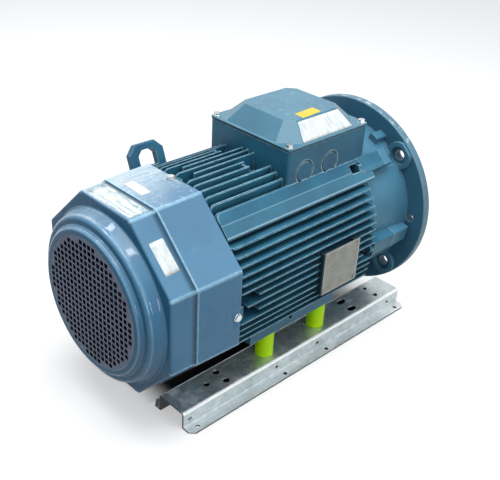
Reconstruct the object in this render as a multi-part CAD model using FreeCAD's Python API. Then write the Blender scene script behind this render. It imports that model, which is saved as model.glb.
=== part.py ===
import FreeCAD, Part
import math
import os
from FreeCAD import Vector

os.makedirs("parts", exist_ok=True)

# A flange-mounted squirrel-cage motor. x runs along the shaft and out of the drive end, z is up,
# and x = 0 is the flange's mounting face. Millimetres and degrees.

fit_gap = 0.05          # between pieces of one body that slide together
running_gap = 0.3       # between a turning piece and a still one
quarter_middle = 1 - math.sqrt(0.5)     # how far a quarter round's middle is in from its tangents, per radius

# Flange and drive-end shield
flange_radius = 175.0
flange_thickness = 15.0
flange_rim_chamfer = 1.5
spigot_radius = 125.0
spigot_height = 5.0
bolt_circle_radius = 150.0
flange_hole_radius = 9.25
flange_hole_count = 4
pocket_wall_radius = 24.0
pocket_radius = 16.0
pocket_wall_height = 5.0
pocket_depth = 27.0
jack_hole_radius = 7.0
jack_circle_radius = 147.0
drum_radius_at_flange = 139.0
drum_radius_at_frame = 131.0
drum_wall = 8.0
recess_radius = 108.0
recess_depth = 6.0
shield_rib_count = 8
shield_rib_thickness = 7.0
shield_screw_angles = [-10.5, 48.0, 132.0, 190.5, 252.0, 288.0]
short_lug_angles = [48.0, 132.0]        # these lugs end at the flange's bolt pockets
shield_screw_circle = 142.0
shield_screw_radius = 5.0
shield_screw_thread = 12.0
shield_lug_radius = 151.0
shield_lug_width = 30.0
shield_lug_root = 4.0
shield_lug_edge = 3.0
frame_lug_reach = 35.6          # of the frame's lugs past its drive face, over the drum
lug_flange_gap = 7.0
lug_pocket_gap = 2.0
spot_face_radius = 10.5
spot_face_depth = 26.0
drum_boss_angles = [64.0, 116.0]
drum_boss_width = 17.0
drum_boss_length = 24.0
drum_boss_radius = 149.0
hub_screw_inset = 4.5

# Frame
frame_drive_face = -95.6
frame_fan_face = -441.0
barrel_radius = 121.0
bore_radius = 113.0
end_ring_length = 15.0
fin_tip_radius = 150.0
fin_start = -425.5
fin_end = -114.0
fin_thickness = 3.6
fin_tip_thickness = 2.6
fin_corner_radius = 9.0
top_fin_pitch = 12.85
top_fin_half_count = 6
side_fin_pitch = 13.4
side_fin_count = 13
side_flat_y = 148.0
side_flat_low_z = -41.0
side_taper_y = 138.0
side_taper_z = -88.0
short_top_fins = [-1, 1]
short_top_start = -400.0
bridged_fins = [2, 3]
bridged_stop = -312.0
bridge_thickness = 4.0
short_side_fins = [7, 9]
short_side_start = -385.0
notched_side_fin = 8
notched_side_start = -408.0
band_top_y = 89.6
band_top_z = 120.3
band_crease_y = 104.0
band_crease_z = 107.8
band_low_y = 118.0
band_low_z = 93.0

# Side ledges that carry the motor on its sleeves
ledge_start = -366.0
ledge_end = -168.0
ledge_y = 117.0
ledge_inner_y = 66.0
ledge_top_z = -98.0
ledge_low_z = -122.7
ledge_notch_x = -274.5
ledge_notch_width = 21.0
ledge_notch_height = 12.0
ledge_notch_depth = 6.0

# Terminal box, cast in one with the frame, and its lid
box_fan_x = -278.3
box_drive_x = frame_drive_face
box_half_width = 88.3
box_top_z = 174.5
box_wall = 6.0
box_floor_z = 127.0
box_corner_radius = 5.0
cable_port_radius = 20.0
cable_port_offset = 50.0
knockout_radius = 18.5
knockout_x = [-240.0, -181.5]
knockout_z = 134.0
knockout_groove = 2.4
knockout_depth = 1.5
gasket_thickness = 2.0
lid_plate_thickness = 3.0
lid_overhang = 1.0
lid_height = 29.5
lid_wall = 4.0
lid_top_fan_x = -247.0
lid_top_drive_x = -127.5
lid_top_half_width = 56.0
lid_top_corner = 13.0
lid_foot_margin = 3.0
lid_foot_corner = 30.0
lid_screw_inset = 7.0
lid_screw_radius = 3.0
lid_post_radius = 5.5
lid_screw_length = 22.0

# Fan cover: an octagon pressed in two steps, with a round boss
cover_edge_x = -427.0
cover_step_x = -506.9
cover_face_x = -550.3
cover_sheet = 2.5
cover_step = 2.2
cover_step_run = 3.0
cover_draft = 3.5
cover_half_width = 148.4
cover_top_z = 142.8
cover_low_z = -153.1
cover_top_corner_y = 58.8
cover_side_high_z = 56.5
cover_side_low_z = -68.7
cover_low_corner_y = 68.2
cover_edge_radius = 4.5
cover_rim_radius = 3.2
boss_centre_z = -9.0
boss_base_radius = 136.0
boss_shoulder_radius = 130.0
boss_shoulder_x = -573.0
boss_lip_radius = 115.0
boss_front_x = -581.5
boss_shoulder_roll = 8.0
boss_lip_draft = 1.5
boss_lip_roll = 6.0
boss_lip_foot = 2.2
inlet_radius = 103.5
cover_screw_x = -433.0
cover_screw_radius = 3.0
cover_screw_length = 14.0
cover_washer_radius = 6.5
flat_washer = 1.2
cover_side_screw_z = -18.0
cover_lug_width = 22.0
cover_lug_end = -419.0

# Perforated sheet in the boss, dished so that its face lies flush with the lip
grille_sheet = 1.5
grille_margin = 3.0
hole_pitch = 10.04
hole_size = 7.1
hole_field_edge = 2.0

# Base rails of folded sheet, and the sleeves between them and the ledges
rail_y = 93.0
rail_fan_x = -507.0
rail_drive_x = 26.0
rail_top_z = -179.5
rail_height = 31.0
rail_half_width = 29.0
rail_lip = 20.0
rail_sheet = 3.0
rail_bend_radius = 4.0
rail_lip_corner = 9.0
sleeve_x = [-308.0, -181.0]
sleeve_radius = 15.5
sleeve_bolt_radius = 6.0
sleeve_bolt_grip = 18.0
sleeve_seat_margin = 1.5
washer_radius = 12.0
washer_thickness = 2.5
rail_round_holes = [(-405.0, 12.5, 5.7), (-405.0, -12.5, 5.7), (-435.5, 0.0, 5.2),
                    (-24.8, 13.0, 4.75), (-24.8, -13.0, 4.75)]
rail_slot_x = -94.0
rail_slot_offset = 13.0
rail_slot_radius = 5.8
rail_slot_length = 20.0
rail_web_holes = [-494.0, -305.0, -203.5, -6.0]
rail_lip_holes = [-488.0, -295.0, -191.0, 6.0]
rail_side_hole_radius = 3.2
rail_lip_hole_radius = 3.5
rail_lip_hole_offset = 11.6

# Stator and winding
core_length = 205.0
core_centre_x = -267.5
air_gap = 0.5
stator_bore_radius = 72.0
slot_count = 36
slot_inner_radius = 74.0
slot_outer_radius = 94.0
slot_inner_width = 6.0
slot_outer_width = 9.4
slot_mouth = 2.6
slot_liner = 0.3
end_turn_length = 38.0
end_turn_inner = 75.5
end_turn_outer = 101.0
end_turn_round = 7.0

# Rotor
rotor_bar_count = 28
rotor_bar_inner = 52.0
rotor_bar_outer = 69.5
rotor_bar_inner_width = 4.0
rotor_bar_outer_width = 6.6
end_ring_inner = 44.0
end_ring_outer = 70.0
end_ring_width = 12.0
rotor_blade_count = 8
rotor_blade_length = 16.0
rotor_blade_thickness = 4.0

# Shaft
shaft_end_radius = 21.0
shaft_end_length = 110.0
shaft_chamfer = 1.5
key_width = 12.0
key_depth = 5.0
key_length = 90.0
key_setback = 10.0
centre_hole_radius = 7.0
centre_hole_depth = 36.0
journal_radius = 22.5
shoulder_radius = 27.5
core_seat_radius = 31.0
fan_seat_radius = 19.0
fan_seat_end = -521.0

# Bearings
drive_bearing_x = -62.0
drive_bearing_width = 25.0
drive_bearing_outer = 50.0
drive_ball_radius = 8.73
drive_pitch_radius = 36.25
drive_ball_count = 8
fan_bearing_x = -459.0
fan_bearing_width = 19.0
fan_bearing_outer = 42.5
fan_ball_radius = 6.35
fan_pitch_radius = 32.5
fan_ball_count = 9
ball_gap = 0.1
ring_share = 0.66       # how far each ring reaches from its bore or rim towards the ball centres
cage_thickness = 3.6
cage_side = 1.6
hub_wall = 11.0
hub_lip = 8.0
cap_thickness = 7.0
cap_screw_count = 3
cap_screw_radius = 3.0
wave_thickness = 1.0
seal_thickness = 8.0
seal_radius = 31.0

# Fan-end shield and cooling fan
fan_shield_plate = 9.0
shield_ear_radius = 10.0
shield_ear_length = 20.0
fan_hub_radius = 34.0
fan_hub_start = -512.0
fan_hub_end = -478.0
fan_disc_x = -492.0
fan_disc_thickness = 3.0
fan_radius = 122.0
fan_blade_count = 9
fan_blade_inner = 44.0
fan_blade_thickness = 3.0
fan_blade_front = -534.0
circlip_thickness = 1.75
circlip_height = 4.0

# Screw heads: distance from the axis to a flat, and height
m6_head_radius = 5.0
m6_head_height = 4.0
m8_head_radius = 6.5
m8_head_height = 5.3
m10_head_radius = 8.5
m10_head_height = 6.5
m12_head_radius = 9.5
m12_head_height = 7.5

# Small pieces
plate_width = 84.0
plate_height = 78.0
plate_thickness = 1.2
plate_centre_x = -206.5
plate_centre_z = -20.0
plate_y = 155.0
plate_rivet_inset = 5.0
plate_rivet_radius = 1.8
plate_rivet_length = 8.0
plate_rivet_head_radius = 3.2
plate_rivet_head_height = 1.0
plate_pad_half = 7.0
plate_pad_root = 5.0
lug_lean = 22.0
lug_x = -393.0
lug_half_length = 33.0
lug_thickness = 12.0
lug_height = 43.0
lug_bar = 16.0
lug_top_bar = 11.0
lug_foot_bar = 5.0
lug_root_y = 104.0
lug_root_z = 111.0
lug_corner = 14.0
lug_eye_corner = 8.0
lug_pad_half = 8.5
lug_pad_height = 18.0
lug_stud_radius = 4.0
lug_stud_reach = 12.0
earth_screw_radius = 4.0
board_length = 92.0
board_width = 58.0
board_thickness = 10.0
stud_radius = 3.0
stud_height = 26.0
stud_spacing_x = 32.0
stud_spacing_y = 30.0


def block(x0, x1, y0, y1, z0, z1):
    return Part.makeBox(x1 - x0, y1 - y0, z1 - z0, Vector(x0, y0, z0))


def flat(points):
    return Part.Face(Part.makePolygon(points + points[:1]))


def prism_x(outline, x0, x1):
    """An outline of (y, z) points drawn out along x."""
    return flat([Vector(x0, y, z) for y, z in outline]).extrude(Vector(x1 - x0, 0, 0))


def prism_y(outline, y0, y1):
    """An outline of (x, z) points drawn out along y."""
    return flat([Vector(x, y0, z) for x, z in outline]).extrude(Vector(0, y1 - y0, 0))


def turned(profile):
    """A profile of (x, radius) points turned about the shaft's axis."""
    return flat([Vector(x, 0, r) for x, r in profile]).revolve(Vector(), Vector(1, 0, 0), 360)


def rod(x0, x1, radius, y=0.0, z=0.0):
    return Part.makeCylinder(radius, x1 - x0, Vector(x0, y, z), Vector(1, 0, 0))


def post(z0, z1, radius, x, y):
    return Part.makeCylinder(radius, z1 - z0, Vector(x, y, z0), Vector(0, 0, 1))


def ring(x0, x1, outer, inner):
    return rod(x0, x1, outer).cut(rod(x0 - 1, x1 + 1, inner))


def fused(shapes):
    whole = shapes[0].fuse(shapes[1:]) if len(shapes) > 1 else shapes[0]
    return whole.removeSplitter()


def about_axis(shape, degrees):
    turned_shape = shape.copy()
    turned_shape.rotate(Vector(), Vector(1, 0, 0), degrees)
    return turned_shape


def around(shape, count, start=0.0):
    return [about_axis(shape, start + 360.0 * i / count) for i in range(count)]


def mirrored(shape):
    """The same shape on the other side of the vertical plane through the shaft."""
    return shape.mirror(Vector(), Vector(0, 1, 0))


def polar(radius, degrees):
    """The (y, z) place at a radius, with degrees counted from +y towards +z."""
    return radius * math.cos(math.radians(degrees)), radius * math.sin(math.radians(degrees))


def hexagon(radius):
    return [polar(radius / math.cos(math.radians(30)), 60 * i) for i in range(6)]


def hex_screw(radius, length, head_radius, head_height):
    """A screw along +x: its head lies at x < 0 and its shank at x > 0."""
    return fused([prism_x(hexagon(head_radius), -head_height, 0.0), rod(-0.5, length, radius)])


def save(name, shape):
    shape.exportStep("parts/" + name + ".step")


# Frame

def fin_envelope():
    """The space inside the fin tips: round above, straight beside, and rounded at its fan end."""
    low_y, low_z = polar(fin_tip_radius, -54.0)
    flat_top_z = math.sqrt(fin_tip_radius ** 2 - side_flat_y ** 2)
    x = fin_start
    crown = Part.Arc(Vector(x, side_flat_y, flat_top_z), Vector(x, 0, fin_tip_radius),
                     Vector(x, -side_flat_y, flat_top_z)).toShape()
    keel = Part.Arc(Vector(x, -low_y, low_z), Vector(x, 0, -fin_tip_radius),
                    Vector(x, low_y, low_z)).toShape()
    side = [(side_flat_y, flat_top_z), (side_flat_y, side_flat_low_z), (side_taper_y, side_taper_z),
            (ledge_y, ledge_top_z), (low_y, low_z)]
    near_side = Part.makePolygon([Vector(x, -y, z) for y, z in side])
    far_side = Part.makePolygon([Vector(x, y, z) for y, z in reversed(side)])
    outline = Part.Wire([crown] + near_side.Edges + [keel] + far_side.Edges)
    solid = Part.Face(outline).extrude(Vector(fin_end - fin_start, 0, 0))
    end_edges = [e for e in solid.Edges if e.BoundBox.XMax < x + 0.01]
    return solid.makeFillet(fin_corner_radius, end_edges)


def top_fin(y, x0, x1):
    root = fin_thickness / 2
    tip = fin_tip_thickness / 2
    reach = fin_tip_radius + 1
    return prism_x([(y - root, 0), (y + root, 0), (y + tip, reach), (y - tip, reach)], x0, x1)


def side_fin(z, x0, x1):
    root = fin_thickness / 2
    tip = fin_tip_thickness / 2
    reach = fin_tip_radius + 1
    return prism_x([(-reach, z - tip), (0, z - root), (reach, z - tip), (reach, z + tip), (0, z + root),
                    (-reach, z + tip)], x0, x1)


def cooling_fins():
    fins = []
    for i in range(-top_fin_half_count, top_fin_half_count + 1):
        start = short_top_start if i in short_top_fins else fin_start
        y = top_fin_pitch * i
        fins.append(top_fin(y, start, fin_end))
        fins.append(about_axis(top_fin(y, fin_start, fin_end), 180))
    for i in range(1, side_fin_count + 1):
        start = fin_start
        if i in short_side_fins:
            start = short_side_start
        if i == notched_side_fin:
            start = notched_side_start
        fins.append(side_fin(band_low_z - side_fin_pitch * i, start, fin_end))
    shape = fused(fins).common(fin_envelope())
    near_y = top_fin_pitch * bridged_fins[0]
    far_y = top_fin_pitch * bridged_fins[-1]
    gap = block(bridged_stop, box_fan_x, near_y - fin_thickness, far_y + fin_thickness, barrel_radius - 8,
                fin_tip_radius + 1)
    bridge = block(bridged_stop - bridge_thickness, bridged_stop, near_y, far_y, barrel_radius - 8,
                   fin_tip_radius - 6)
    shape = shape.cut([gap, mirrored(gap)])
    return shape.fuse([bridge, mirrored(bridge)])


def corner_band():
    """The closed shoulder between the top fins and the side fins."""
    outline = [(-band_top_y + fin_thickness, band_top_z), (-band_top_y, band_top_z),
               (-band_crease_y, band_crease_z), (-band_low_y, band_low_z),
               (-band_low_y, band_low_z - fin_thickness),
               (-band_top_y + fin_thickness, band_low_z - fin_thickness)]
    shoulder = prism_x(outline, fin_start, frame_drive_face)
    x = fin_start
    r = fin_corner_radius
    z = band_top_z
    early = r * quarter_middle
    corner = [Part.Arc(Vector(x, 0, z - r), Vector(x + early, 0, z - early), Vector(x + r, 0, z)).toShape(),
              Part.makePolygon([Vector(x + r, 0, z), Vector(x - 1, 0, z + 1), Vector(x, 0, z - r)])]
    waste = Part.Face(Part.Wire(corner)).extrude(Vector(0, -2 * band_low_y, 0))
    return shoulder.cut(waste)


def ledge():
    outline = [(-ledge_y, ledge_low_z), (-ledge_y, ledge_top_z), (-ledge_inner_y, ledge_top_z + 12),
               (-ledge_inner_y, ledge_low_z)]
    bar = prism_x(outline, ledge_start, ledge_end)
    half = ledge_notch_width / 2
    notch = prism_y([(ledge_notch_x - half, ledge_top_z - 5), (ledge_notch_x + half, ledge_top_z - 5),
                     (ledge_notch_x, ledge_top_z - 5 - ledge_notch_height)],
                    -ledge_y - 1, -ledge_y + ledge_notch_depth)
    hole_top = ledge_low_z + sleeve_bolt_grip
    holes = [post(ledge_low_z - 1, hole_top, sleeve_bolt_radius, x, -rail_y) for x in sleeve_x]
    return bar.cut([notch] + holes)


def sleeve_seats():
    """The room below the ledges that the lowest fins leave for the sleeves."""
    radius = sleeve_radius + sleeve_seat_margin
    return [post(-fin_tip_radius, ledge_low_z, radius, x, y) for x, y in sleeve_places()]


def on_shoulder(shape):
    """Takes a shape that stands upright at the origin to the lifting lug's place and lean."""
    placed = shape.copy()
    placed.rotate(Vector(), Vector(1, 0, 0), -lug_lean)
    placed.translate(Vector(lug_x, lug_root_y, lug_root_z))
    return placed


def lug_pad():
    half = lug_half_length - 1
    return on_shoulder(block(-half, half, -lug_pad_half, lug_pad_half, -lug_pad_height, 0))


def lug_studs(radius):
    """Two studs between the pad and the lug's side bars."""
    x = lug_half_length - lug_bar / 2
    return [on_shoulder(post(-lug_stud_reach, lug_stud_reach, radius, side * x, 0)) for side in (-1, 1)]


def cover_lugs():
    """Bosses on the frame that the cover is screwed to: above, below and beside."""
    half = cover_lug_width / 2
    start = frame_fan_face
    end = cover_lug_end
    reach = cover_draft_at(start) - cover_sheet - fit_gap
    side = cover_half_width + reach
    low_z = cover_side_screw_z - half
    high_z = cover_side_screw_z + half
    return [block(start, end, -half, half, bore_radius + 2, cover_top_z + reach),
            block(start, end, -half, half, cover_low_z - reach, -bore_radius - 2),
            block(start, end, -side, -bore_radius - 2, low_z, high_z),
            block(start, end, bore_radius + 2, side, low_z, high_z)]


def plate_pads():
    """Two upright bars on the fins behind the nameplate, for its rivets."""
    half = plate_height / 2 - 1
    pads = []
    for side in (-1, 1):
        x = plate_centre_x + side * (plate_width / 2 - plate_rivet_inset)
        pads.append(block(x - plate_pad_half, x + plate_pad_half, plate_thickness - plate_y,
                          plate_pad_root - barrel_radius, plate_centre_z - half, plate_centre_z + half))
    return pads


def drum_radius_at(x):
    """The drum's outer radius at a place along the shaft."""
    share = (x - frame_drive_face) / (-flange_thickness - frame_drive_face)
    return drum_radius_at_frame + share * (drum_radius_at_flange - drum_radius_at_frame)


def lug_split():
    """Where the frame's lugs end and the shield's lugs begin."""
    return frame_drive_face + frame_lug_reach


def drum_block(x0, x1, outer, width):
    """A block on the drum at +y, with its two outer lengthwise edges rounded."""
    bar = block(x0, x1, drum_radius_at_frame - shield_lug_root, outer, -width / 2, width / 2)
    edges = [e for e in bar.Edges if e.BoundBox.YMin > outer - 0.01 and e.BoundBox.XLength > 1]
    return bar.makeFillet(shield_lug_edge, edges)


def frame_lugs():
    bar = drum_block(fin_end, lug_split(), shield_lug_radius, shield_lug_width)
    return [about_axis(bar, angle) for angle in shield_screw_angles]


def drum_clearance():
    """The space that the shield's drum takes under the frame's lugs."""
    end = lug_split() + 1
    return turned([(frame_drive_face, 0), (frame_drive_face, drum_radius_at_frame + running_gap),
                   (end, drum_radius_at(end) + running_gap), (end, 0)])


def shield_lugs():
    bars = []
    for angle in shield_screw_angles:
        end = -flange_thickness - lug_flange_gap
        if angle in short_lug_angles:
            end = -flange_thickness - pocket_depth - lug_pocket_gap
        bars.append(about_axis(drum_block(lug_split(), end, shield_lug_radius, shield_lug_width), angle))
    return bars


def drum_bosses():
    """Plain cast bosses behind the flange, above the drum."""
    end = -flange_thickness
    bar = drum_block(end - drum_boss_length, end, drum_boss_radius, drum_boss_width)
    return [about_axis(bar, angle) for angle in drum_boss_angles]


def shield_screw_places():
    return [polar(shield_screw_circle, angle) for angle in shield_screw_angles]


def terminal_box_base():
    outer = block(box_fan_x, box_drive_x, -box_half_width, box_half_width, 80.0, box_top_z)
    uprights = [e for e in outer.Edges if e.BoundBox.ZLength > 10]
    outer = outer.makeFillet(box_corner_radius, uprights)
    return outer


def terminal_box_cavity():
    space = block(box_fan_x + box_wall, box_drive_x - box_wall, -box_half_width + box_wall,
                  box_half_width - box_wall, box_floor_z, box_top_z + 1)
    uprights = [e for e in space.Edges if e.BoundBox.ZLength > 10]
    return space.makeFillet(box_corner_radius, uprights)


def knockout_grooves():
    cuts = []
    for x in knockout_x:
        for side in (-1, 1):
            y = side * box_half_width
            start = Vector(x, y - knockout_depth, knockout_z)
            outer = Part.makeCylinder(knockout_radius, 2 * knockout_depth, start, Vector(0, 1, 0))
            inner = Part.makeCylinder(knockout_radius - knockout_groove, 2 * knockout_depth, start,
                                      Vector(0, 1, 0))
            cuts.append(outer.cut(inner))
    return cuts


def lid_screw_places():
    xs = [box_fan_x + lid_screw_inset, box_drive_x - lid_screw_inset]
    ys = [-box_half_width + lid_screw_inset, box_half_width - lid_screw_inset]
    return [(x, y) for x in xs for y in ys]


def stator_housing():
    barrel = rod(frame_fan_face, frame_drive_face, barrel_radius)
    end_ring = rod(frame_drive_face - end_ring_length, frame_drive_face, drum_radius_at_frame)
    bodies = [barrel, end_ring, cooling_fins(), corner_band(), mirrored(corner_band()), ledge(),
              mirrored(ledge()), terminal_box_base(), lug_pad()]
    bodies += cover_lugs() + plate_pads()
    bodies += frame_lugs()
    bodies += shield_ears(frame_fan_face, frame_fan_face + shield_ear_length)
    body = fused(bodies)
    cuts = [rod(frame_fan_face - 10, frame_drive_face + 10, bore_radius), terminal_box_cavity()]
    cuts += knockout_grooves() + sleeve_seats()
    cable_port_x = (box_fan_x + box_drive_x) / 2 - cable_port_offset
    cuts.append(post(bore_radius - 5, box_floor_z + 1, cable_port_radius, cable_port_x, 0))
    cuts.append(drum_clearance())
    for y, z in shield_screw_places():
        cuts.append(rod(fin_end - 1, lug_split() + 1, shield_screw_radius + fit_gap, y, z))
        cuts.append(rod(fin_end - spot_face_depth, fin_end, spot_face_radius, y, z))
    ear_hole_end = frame_fan_face + shield_ear_length - 2
    for y, z in fan_shield_screw_places():
        cuts.append(rod(frame_fan_face - 1, ear_hole_end, shield_screw_radius, y, z))
    for y, z, inward in cover_screw_places():
        start = Vector(cover_screw_x, y, z)
        cuts.append(Part.makeCylinder(cover_screw_radius, cover_screw_length + 1, start, inward))
    for x, z in rivet_places():
        cuts.append(rivet_shank(x, z))
    corners = []
    for x, y in lid_screw_places():
        corner = post(box_floor_z - 2, box_top_z, lid_post_radius, x, y)
        corners.append(corner)
    body = body.cut(cuts)
    body = fused([body] + corners)
    holes = [post(box_top_z - lid_screw_length, box_top_z + 1, lid_screw_radius, x, y)
             for x, y in lid_screw_places()]
    holes.append(earth_screw_hole())
    return body.cut(holes + lug_studs(lug_stud_radius))


def earth_screw_hole():
    x = box_drive_x - box_wall - 18
    return post(box_floor_z - 8, box_floor_z + 2, earth_screw_radius, x, -box_half_width + 26)


# Terminal box pieces

def octagon_of(x0, x1, half, corner, z):
    return [Vector(x0 + corner, -half, z), Vector(x1 - corner, -half, z), Vector(x1, -half + corner, z),
            Vector(x1, half - corner, z), Vector(x1 - corner, half, z), Vector(x0 + corner, half, z),
            Vector(x0, half - corner, z), Vector(x0, -half + corner, z)]


def hipped(shrink, foot_z, top_z):
    """The lid's raised body, from its wide foot to its smaller top, all set in by shrink."""
    foot = octagon_of(box_fan_x + lid_foot_margin + shrink, box_drive_x - lid_foot_margin - shrink,
                      box_half_width - lid_foot_margin - shrink, lid_foot_corner, foot_z)
    top = octagon_of(lid_top_fan_x + shrink, lid_top_drive_x - shrink, lid_top_half_width - shrink,
                     lid_top_corner, top_z)
    return Part.makeLoft([Part.makePolygon(foot + foot[:1]), Part.makePolygon(top + top[:1])], True, True)


def terminal_box_lid():
    low = box_top_z + gasket_thickness
    high = low + lid_plate_thickness
    plate = block(box_fan_x - lid_overhang, box_drive_x + lid_overhang, -box_half_width - lid_overhang,
                  box_half_width + lid_overhang, low, high)
    plate = plate.makeFillet(box_corner_radius, [e for e in plate.Edges if e.BoundBox.ZLength > 1])
    roof = hipped(0.0, high, low + lid_height)
    body = fused([plate, roof])
    hollow = hipped(lid_wall, low - 1, low + lid_height - lid_wall)
    holes = [post(low - 1, high + 1, lid_screw_radius + fit_gap, x, y) for x, y in lid_screw_places()]
    return body.cut([hollow] + holes)


def lid_gasket():
    low = box_top_z
    high = low + gasket_thickness
    sheet = block(box_fan_x + 1, box_drive_x - 1, -box_half_width + 1, box_half_width - 1, low, high)
    sheet = sheet.makeFillet(box_corner_radius - 1, [e for e in sheet.Edges if e.BoundBox.ZLength > 1])
    space = block(box_fan_x + box_wall, box_drive_x - box_wall, -box_half_width + box_wall,
                  box_half_width - box_wall, low - 1, high + 1)
    corners = [post(low, high, lid_post_radius, x, y) for x, y in lid_screw_places()]
    holes = [post(low - 1, high + 1, lid_screw_radius + fit_gap, x, y) for x, y in lid_screw_places()]
    return fused([sheet.cut(space)] + corners).cut(holes)


def upright(screw, x, y, z):
    """A screw along x stood up with its head on top, under-head face at the given place."""
    shape = screw.copy()
    shape.rotate(Vector(), Vector(0, 1, 0), 90)
    shape.translate(Vector(x, y, z))
    return shape


def lid_screws():
    z = box_top_z + gasket_thickness + lid_plate_thickness
    length = lid_screw_length + gasket_thickness + lid_plate_thickness - 1
    screw = hex_screw(lid_screw_radius, length, m6_head_radius, m6_head_height + flat_washer)
    screw = fused([screw, rod(-flat_washer, 0, cover_washer_radius)])
    return Part.makeCompound([upright(screw, x, y, z) for x, y in lid_screw_places()])


def board_centre():
    return (box_fan_x + box_drive_x) / 2 + 25


def terminal_board():
    x = board_centre()
    slab = block(x - board_length / 2, x + board_length / 2, -board_width / 2, board_width / 2, box_floor_z,
                 box_floor_z + board_thickness)
    ribs = []
    for i in (-1, 1):
        rib_x = x + i * stud_spacing_x / 2
        ribs.append(block(rib_x - 1.5, rib_x + 1.5, -board_width / 2, board_width / 2,
                          box_floor_z + board_thickness, box_floor_z + board_thickness + 7))
    slab = slab.makeFillet(4.0, [e for e in slab.Edges if e.BoundBox.ZLength > 1])
    holes = [post(box_floor_z - 1, box_floor_z + board_thickness + 1, stud_radius, sx, sy)
             for sx, sy in stud_places()]
    return fused([slab] + ribs).cut(holes)


def stud_places():
    x = board_centre()
    return [(x + i * stud_spacing_x, j * stud_spacing_y / 2) for i in (-1, 0, 1) for j in (-1, 1)]


def terminal_studs():
    return Part.makeCompound([post(box_floor_z, box_floor_z + stud_height, stud_radius, x, y)
                              for x, y in stud_places()])


def terminal_links():
    """Three bars that join the studs in pairs, as for a delta connection."""
    low = box_floor_z + board_thickness
    bars = []
    for i in (-1, 0, 1):
        x = board_centre() + i * stud_spacing_x
        half = stud_spacing_y / 2
        bar = block(x - 6, x + 6, -half, half, low, low + 1.5)
        ends = [post(low, low + 1.5, 6.0, x, half), post(low, low + 1.5, 6.0, x, -half)]
        holes = [post(low - 1, low + 3, stud_radius + fit_gap, x, side * half) for side in (-1, 1)]
        bars.append(fused([bar] + ends).cut(holes))
    return Part.makeCompound(bars)


def terminal_nuts():
    low = box_floor_z + board_thickness + 1.5
    nut = prism_x(hexagon(5.0), 0.0, 5.0).cut(rod(-1, 6, stud_radius + fit_gap))
    nuts = []
    for x, y in stud_places():
        nuts.append(upright(nut, x, y, low + 5))
    return Part.makeCompound(nuts)


def earth_screw():
    screw = hex_screw(earth_screw_radius, 7.0, m8_head_radius, m8_head_height)
    x = box_drive_x - box_wall - 18
    return upright(screw, x, -box_half_width + 26, box_floor_z)


# Drive-end shield

def drive_end_flange_shield():
    back = -flange_thickness
    hub_radius = drive_bearing_outer + hub_wall
    bore_mouth = drive_bearing_x - 2
    c = flange_rim_chamfer
    face_lip = shoulder_radius + running_gap
    section = [(back, drum_radius_at_flange), (frame_drive_face, drum_radius_at_frame),
               (frame_drive_face, bore_radius), (frame_drive_face - 8, bore_radius),
               (frame_drive_face - 8, bore_radius - drum_wall + 2),
               (frame_drive_face + 6, bore_radius - drum_wall + 2),
               (back - 14, drum_radius_at_flange - drum_wall), (back - 6, hub_radius + 3),
               (bore_mouth, hub_radius), (bore_mouth, drive_bearing_outer),
               (drive_bearing_x + drive_bearing_width, drive_bearing_outer),
               (drive_bearing_x + drive_bearing_width, face_lip),
               (-recess_depth - hub_lip, face_lip), (-recess_depth - hub_lip, hub_radius - 14),
               (-recess_depth, hub_radius - 12), (-recess_depth, recess_radius), (0.0, recess_radius + 3),
               (spigot_height - 1, spigot_radius - 6), (spigot_height, spigot_radius - 5),
               (spigot_height, spigot_radius - 1), (spigot_height - 1, spigot_radius), (0.0, spigot_radius),
               (0.0, flange_radius - c), (-c, flange_radius), (back + c, flange_radius),
               (back, flange_radius - c)]
    body = turned(section)
    rib_top = drum_radius_at_flange - drum_wall + 2
    rib = prism_y([(back - 1, hub_radius - 2), (bore_mouth + 6, hub_radius - 2), (back - 14, rib_top),
                   (back - 1, rib_top)], -shield_rib_thickness / 2, shield_rib_thickness / 2)
    ribs = around(rib, shield_rib_count, 22.5)
    walls = []
    pockets = []
    for i in range(flange_hole_count):
        y, z = polar(bolt_circle_radius, 45 + 360.0 * i / flange_hole_count)
        walls.append(rod(back - pocket_wall_height, back, pocket_wall_radius, y, z))
        pockets.append(rod(back - pocket_depth, back, pocket_radius, y, z))
        pockets.append(rod(back - 1, 1, flange_hole_radius, y, z))
    trim = ring(back - 60, back + 1, 400.0, flange_radius - 4)
    body = fused([body] + ribs + shield_lugs() + drum_bosses() + [w.cut(trim) for w in walls])
    cuts = pockets
    for y, z in shield_screw_places():
        cuts.append(rod(lug_split() - 1, lug_split() + shield_screw_thread + 1, shield_screw_radius, y, z))
    for angle in (0.0, 180.0):
        y, z = polar(jack_circle_radius, angle)
        cuts.append(rod(back - 1, 1, jack_hole_radius, y, z))
    screw_hole = rod(bore_mouth - 1, -recess_depth + 1, cap_screw_radius + fit_gap,
                     hub_radius - hub_screw_inset, 0)
    cuts += around(screw_hole, cap_screw_count, 90)
    return body.cut(cuts)


def drive_end_shield_screws():
    length = lug_split() + shield_screw_thread - fin_end
    screw = hex_screw(shield_screw_radius, length, m10_head_radius, m10_head_height)
    placed = []
    for y, z in shield_screw_places():
        one = screw.copy()
        one.translate(Vector(fin_end, y, z))
        placed.append(one)
    return Part.makeCompound(placed)


def bearing_cap(x0, hub_radius):
    """An inner bearing cover: a ring that holds the outer ring and is screwed to the shield's hub."""
    x1 = x0 + cap_thickness
    plate = ring(x0, x1, hub_radius, shoulder_radius + running_gap)
    hole = rod(x0 - 1, x1 + 1, cap_screw_radius, hub_radius - hub_screw_inset, 0)
    return plate.cut(around(hole, cap_screw_count, 90))


def drive_end_bearing_cover():
    hub_radius = drive_bearing_outer + hub_wall
    face = drive_bearing_x - 2
    plate = bearing_cap(face - cap_thickness, hub_radius)
    step = ring(face, drive_bearing_x, drive_bearing_outer, drive_bearing_outer - 6)
    return fused([plate, step])


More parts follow.
